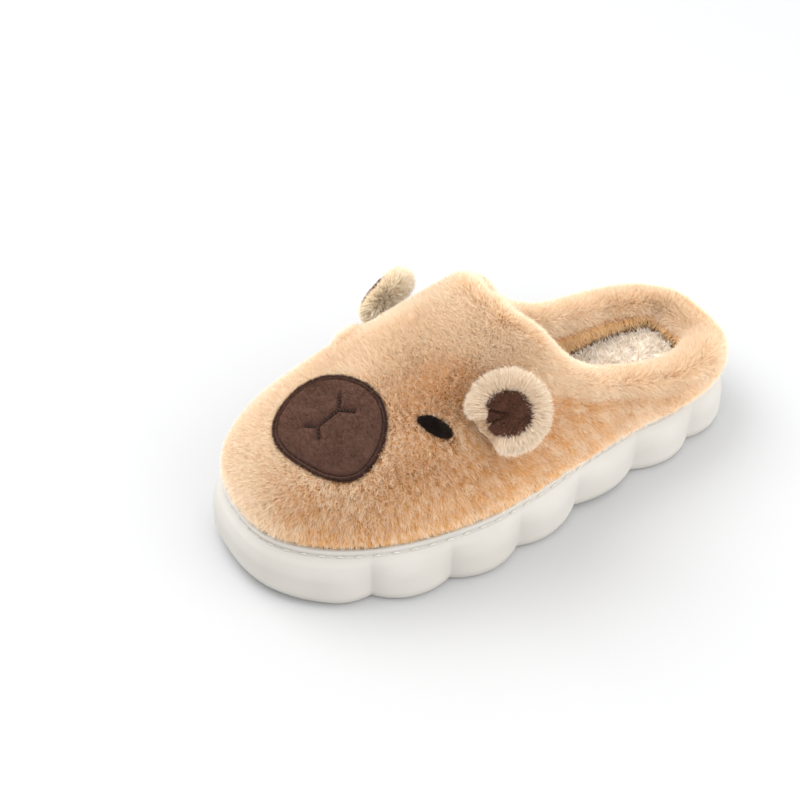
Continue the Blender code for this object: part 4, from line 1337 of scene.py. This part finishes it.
@dataclass
class Sole:
    """The foam sole: a scalloped side, a stitched lip, a bed for the upper and tread grooves."""

    last: Last
    around: int = 660
    height: float = 30.0
    floor: float = 24.0
    stitch_height: float = 26.0
    lip_inset: float = 4.6
    lip_width: float = 3.4
    edge_round: float = 5.0
    toe_spring: float = 3.0
    spring_length: float = 36.0
    arch_rise: float = 2.0
    pitch: float = 37.3
    depth: float = 5.0
    first: float = 75.0
    tread_depth: float = 1.5
    tread_width: float = 3.0
    tread_pitch: float = 14.0
    stitch_pitch: float = 8.5
    stitch_length: float = 3.6
    thread_radius: float = 0.42

    def notches(self) -> np.ndarray:
        """The places of the notches: an even pitch along both sides, and even lobes round the heel.

        Returns:
            Their distances along the outline.
        """
        side = self.first + self.pitch * np.arange(6)
        side = side[side < self.last.heel_run - self.pitch / 2]
        span = self.last.perimeter - 2 * side[-1]
        lobes = max(1, int(span / self.pitch))
        heel = side[-1] + span * np.arange(1, lobes) / lobes
        return np.concatenate([side, heel, self.last.perimeter - side[::-1]])

    def lift(self, points: np.ndarray) -> np.ndarray:
        """The floor side's height: spring (1 - d / L)^2 at the toe, and rise sin^2 in the arch.

        Args:
            points: plan points.

        Returns:
            The height at each point.
        """
        from_toe = points[..., 1] + self.last.length / 2
        spring = self.toe_spring * np.clip(1.0 - from_toe / self.spring_length, 0.0, 1.0) ** 2
        start = self.last.ball_line + 0.10
        arch = np.clip((from_toe / self.last.length - start) / (self.last.heel_line - start), 0.0, 1.0)
        return spring + self.arch_rise * np.sin(math.pi * arch) ** 2

    def grooves(self, points: np.ndarray) -> np.ndarray:
        """The tread's depth: straight grooves across the forefoot and the heel.

        Args:
            points: plan points.

        Returns:
            The depth at each point.
        """
        depth = np.zeros(points.shape[:-1])
        for low, high in ((0.16, self.last.ball_line + 0.05), (self.last.heel_line + 0.02, 0.93)):
            count = max(2, int((high - low) * self.last.length / self.tread_pitch))
            for station in np.linspace(low, high, count):
                off = np.abs(points[..., 1] - self.last.length * (station - 0.5))
                reach = 0.55 * float(self.last.half_width(np.array(station)))
                side = np.abs(points[..., 0] - float(self.last.centre(np.array(station))))
                inside = smooth_step((self.tread_width / 2 + 0.3 - off) / 0.6) * fade_in(reach - side, 0.0, 0.8)
                depth = np.maximum(depth, self.tread_depth * inside)
        return depth

    def side_profile(self) -> dict[str, tuple[float, ...]]:
        """The side from the floor up: height as a share of the stitch line, inset, and scallop left.

        Returns:
            The table's columns by name.
        """
        return {
            "height": (0.0, 0.05, 0.24, 0.56, 0.86, 1.0),
            "inset": (
                self.edge_round, self.edge_round * 0.3, 0.0,
                self.lip_inset * 0.06, self.lip_inset * 0.5, self.lip_inset,
            ),
            "fade": (0.85, 1.0, 1.0, 0.85, 0.40, 0.12),
        }

    def build(self) -> list[bpy.types.Object]:
        """The sole and its stitches.

        The side is edge + inward (inset(h) + pinch fade(h)), where pinch is depth (1 - gap / half pitch)^2 from the
        nearest notch. A groove runs at the stitch line, and the lip stands inside it.

        Returns:
            The sole and its stitches.
        """
        run = self.last.perimeter * np.arange(self.around) / self.around
        marks = self.notches()
        near = np.abs(marks[:, None] - run[None]).argmin(axis=1)
        run[near] = marks
        edge, inward = self.last.at(run), self.last.inward(run)
        gap = np.abs(run[:, None] - marks[None])
        gap = np.minimum(gap, self.last.perimeter - gap).min(axis=1)
        pinch = self.depth * np.clip(1.0 - gap / (self.pitch / 2), 0.0, 1.0) ** 2
        floor = self.lift(edge)

        middle = np.array([float(self.last.centre(np.array(0.5))), 0.0])
        rim = edge + inward * (self.edge_round + 0.85 * pinch)[:, None]
        share = np.concatenate([np.linspace(0.04, 0.96, 58), [0.98]])[:, None, None]
        flat = middle + (rim - middle) * share
        under = np.concatenate([flat, (self.lift(flat) + self.grooves(flat))[..., None]], axis=-1)

        profile = self.side_profile()
        h = np.concatenate([[0.0, 0.004, 0.015, 0.03, 0.05], np.linspace(0.08, 0.97, 22), [1.0]])[:, None]
        inset = column(profile, "height", "inset", h) + column(profile, "height", "fade", h) * pinch[None]
        side = edge[None] + inward[None] * inset[..., None]
        rise = h * self.stitch_height + floor[None] * (1.0 - h)
        side = np.concatenate([side, rise[..., None]], axis=-1)

        lip_top = self.height - self.stitch_height
        lip = np.array([
            (0.55, self.stitch_height + 0.05), (1.25, self.stitch_height + 0.35), (1.0, self.stitch_height + 0.9),
            (0.35, self.stitch_height + lip_top * 0.55), (0.3, self.stitch_height + lip_top * 0.8),
            (self.lip_width * 0.25, self.height - 0.15), (self.lip_width * 0.5, self.height),
            (self.lip_width * 0.8, self.height - 0.1), (self.lip_width, self.stitch_height + lip_top * 0.7),
            (self.lip_width, self.floor), (self.lip_width + 20.0, self.floor),
        ])
        inset = self.lip_inset + lip[:, :1] + 0.12 * pinch[None] * (lip[:, :1] < 0.7)
        tops = edge[None] + inward[None] * inset[..., None]
        top = np.concatenate([tops, np.broadcast_to(lip[:, 1][:, None, None], (*tops.shape[:2], 1))], axis=-1)
        sole = closed_piece("sole_foam", np.concatenate([under, side, top]))
        return [dress(sole, FoamFinish()), self.build_stitches()]

    def build_stitches(self) -> bpy.types.Object:
        """Dashes of thread in the groove under the lip.

        Returns:
            The stitches.
        """
        count = round(self.last.perimeter / self.stitch_pitch)
        paths = []
        for start in np.arange(count) * self.last.perimeter / count:
            run = start + np.linspace(0.0, self.stitch_length, 6)
            plan = self.last.at(run) + self.last.inward(run) * (self.lip_inset + 0.75)
            bow = np.sin(np.linspace(0, math.pi, 6)) * 0.25
            paths.append(np.concatenate([plan, (self.stitch_height + 0.45 + bow)[:, None]], axis=1))
        return dress(make_piece("sole_stitches", *tubes(paths, self.thread_radius)), SOLE_THREAD)


@dataclass
class Insole:
    """The fleece footbed: short curly pile on the insole's top."""

    upper: Upper
    blades: int = 22000
    top: float = 29.3
    crown: float = 1.0
    front: float = -45.0

    def build(self) -> list[bpy.types.Object]:
        """Pile on a grid that closes in from the inner wall's foot to the middle.

        Returns:
            The fleece.
        """
        rng = np.random.default_rng(77)
        ring = self.upper.skin(0.0)[2][-1][:, :2]
        middle = np.array([float(self.upper.last.centre(np.array(0.5))), 0.0])
        share = np.linspace(0.02, 0.99, 40)[::-1, None, None]
        plan = middle + (ring[None] - middle) * share
        height = self.top - self.crown * np.broadcast_to(share, (*plan.shape[:2], 1)) ** 2
        roots = scatter(np.concatenate([plan, height], axis=-1), self.blades, rng)
        roots.normal[:] = (0.0, 0.0, 1.0)
        roots = roots.keep(roots.place[:, 1] > self.front)
        count = len(roots.place)
        curl = Ripple(4.5, 15)
        level = np.array([1, 1, 0])
        lean = curl.slope(roots.place) * 0.8 * level + rng.normal(0, 0.45, (count, 3)) * level
        tone = 0.55 + 0.28 * curl.value(roots.place) + rng.normal(0, 0.12, count)
        pile = Pile(0.5, roll=1.2, droop=0.3, clump=0.9, clump_size=4.5, seed=15)
        return [dress(pile.grow("insole_fleece", roots, lean, rng.uniform(2.2, 3.6, count), tone), FLEECE)]


# The studio


@dataclass
class Studio:
    """A pale floor, soft light from the upper left, and the camera at the photograph's angle."""

    azimuth: float = 59.8
    elevation: float = 41.1
    distance: float = 0.752
    lens: float = 72.43
    target: tuple[float, float, float] = (-0.0342, -0.0293, 0.030)
    sky: Colour = (0.98, 0.99, 1.0)
    sky_strength: float = 1.38
    floor_reach: float = 3000.0

    def build(self) -> None:
        """Makes the floor, the lights and the camera."""
        scene = bpy.context.scene
        scene.view_settings.view_transform = "Standard"
        world = bpy.data.worlds.new("studio")
        world.use_nodes = True
        background = world.node_tree.nodes["Background"].inputs
        background["Color"].default_value = (*self.sky, 1.0)
        background["Strength"].default_value = self.sky_strength
        scene.world = world
        corners = np.array([[-1.0, -1.0, 0.0], [1.0, -1.0, 0.0], [1.0, 1.0, 0.0], [-1.0, 1.0, 0.0]])
        floor = make_piece("floor", corners * self.floor_reach, np.arange(4)[None])
        shader = Shader("pale_floor", 0.6)
        shader.wire("Base Color", shader.blend(shader.noise(400.0) * 0.2, (0.50, 0.50, 0.50), (0.485, 0.485, 0.485)))
        floor.data.materials.append(shader.material)
        eye, right = self.aim(), self.right()
        away = -unit(eye * [1, 1, 0])
        top = np.array([0.0, 0.0, 1.0])
        self.lamp("key", top * 1.15 - right * 0.6 + away * 0.35, 1.0, 13.0)
        self.lamp("fill", eye * 0.7 + right * 0.9, 1.4, 9.0)
        data = bpy.data.cameras.new("view")
        data.lens, data.sensor_width = self.lens, 36.0
        camera = bpy.data.objects.new("view", data)
        camera.location = Vector(self.target) + Vector(eye) * self.distance
        camera.rotation_euler = Vector(eye).to_track_quat("Z", "Y").to_euler()
        scene.collection.objects.link(camera)
        scene.camera = camera

    def aim(self) -> np.ndarray:
        """The direction from the target to the camera."""
        a, e = math.radians(self.azimuth), math.radians(self.elevation)
        return np.array([math.sin(a) * math.cos(e), -math.cos(a) * math.cos(e), math.sin(e)])

    def right(self) -> np.ndarray:
        """The picture's right."""
        a = math.radians(self.azimuth)
        return np.array([math.cos(a), math.sin(a), 0.0])

    def lamp(self, name: str, place: np.ndarray, size: float, power: float) -> None:
        """An area lamp that faces the shoe.

        Args:
            name: its name.
            place: where it stands, from the camera's target.
            size: its side in metres.
            power: its power in watts.
        """
        data = bpy.data.lights.new(name, "AREA")
        data.size, data.energy = size, power
        lamp = bpy.data.objects.new(name, data)
        lamp.location = Vector(place) + Vector(self.target)
        lamp.rotation_euler = Vector(place).to_track_quat("Z", "Y").to_euler()
        bpy.context.scene.collection.objects.link(lamp)


def adopt(pieces: list[bpy.types.Object], slot: str, *nodes: str) -> None:
    """Makes pieces ride on the shoe and stand for CAD nodes, which are hidden.

    Args:
        pieces: the pieces.
        slot: not used.
        nodes: the CAD nodes that each piece stands for.
    """
    for piece in pieces:
        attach(piece, BODY)
        if nodes:
            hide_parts(*nodes)
        log.info("%s: %d faces", piece.name, len(piece.data.polygons))


def build_nose(face: Face, upper: Upper) -> None:
    """The nose with its nap, its rim and its threads.

    Args:
        face: where the nose is.
        upper: what it sits on.
    """
    low, high = (0.0, -4.9), (0.3, 4.9)
    mark = ((low, high), (high, (-5.7, 8.6)), (high, (5.2, 9.6)), (low, (-4.4, -8.6)), (low, (4.3, -6.9)))
    nose = Nose("nose_velvet", face.nose(), 4.5, rim=1.0, mark=mark)
    nose.fit(upper)
    velvet = dress(nose.build(), VELVET)
    nap = nose.fuzz("nose_nap", 30000, length=0.55, width=0.25, seed=41)
    rim = nose.fuzz("nose_rim_fuzz", 5000, length=1.5, width=0.3, seed=42, start=0.972)
    adopt([velvet, dress(nap, NAP), dress(rim, RIM_NAP), *nose.build_threads()], "brown_velvet", "nose_patch")


def build_side(face: Face, upper: Upper, side: Side) -> None:
    """The eye and the ear of one side. The ear's place is that of its lining in the CAD.

    Args:
        face: where the eye is.
        upper: what it sits on.
        side: the side of the shoe.
    """
    word = side.name.lower()
    eye = Patch(f"eye_felt_{word}", face.eye(side), 2.0, rings=20, around=90)
    eye.fit(upper)
    felt = dress(eye.build(), DARK_FELT)
    fuzz = dress(eye.fuzz(f"eye_fuzz_{word}", 4500, length=0.8, width=0.25, seed=43), FELT)
    adopt([felt, fuzz], "dark_felt", f"eye_patch_{word}")
    low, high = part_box(f"ear_lining_{word}")
    ear = Ear(side, (np.array(low) + np.array(high)) / 2 / MM)
    adopt(ear.build(), "cream_plush", f"ear_{word}")
    adopt(ear.build_lining(), "brown_velvet", f"ear_lining_{word}")


def main() -> None:
    """Builds the dressed slipper."""
    logging.basicConfig(level=logging.INFO, format="%(message)s")
    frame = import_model()
    Studio().build()
    last = Last(shift=float(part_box("outsole")[1][0]) / MM - float(Last().points[:, 0].max()))
    face = Face(last)
    upper = Upper(last, face)

    adopt(Sole(last).build(), "sole_foam", "outsole")
    adopt([upper.build_backing(), *upper.build_coat()], "tan_plush", "upper")
    adopt(Insole(upper).build(), "insole_fleece")
    insole = frame["nodes"]["insole"]
    insole.data.materials.clear()
    dress(insole, INSOLE_CLOTH)
    build_nose(face, upper)
    for side in Side:
        build_side(face, upper, side)


if __name__ == "__main__":
    main()
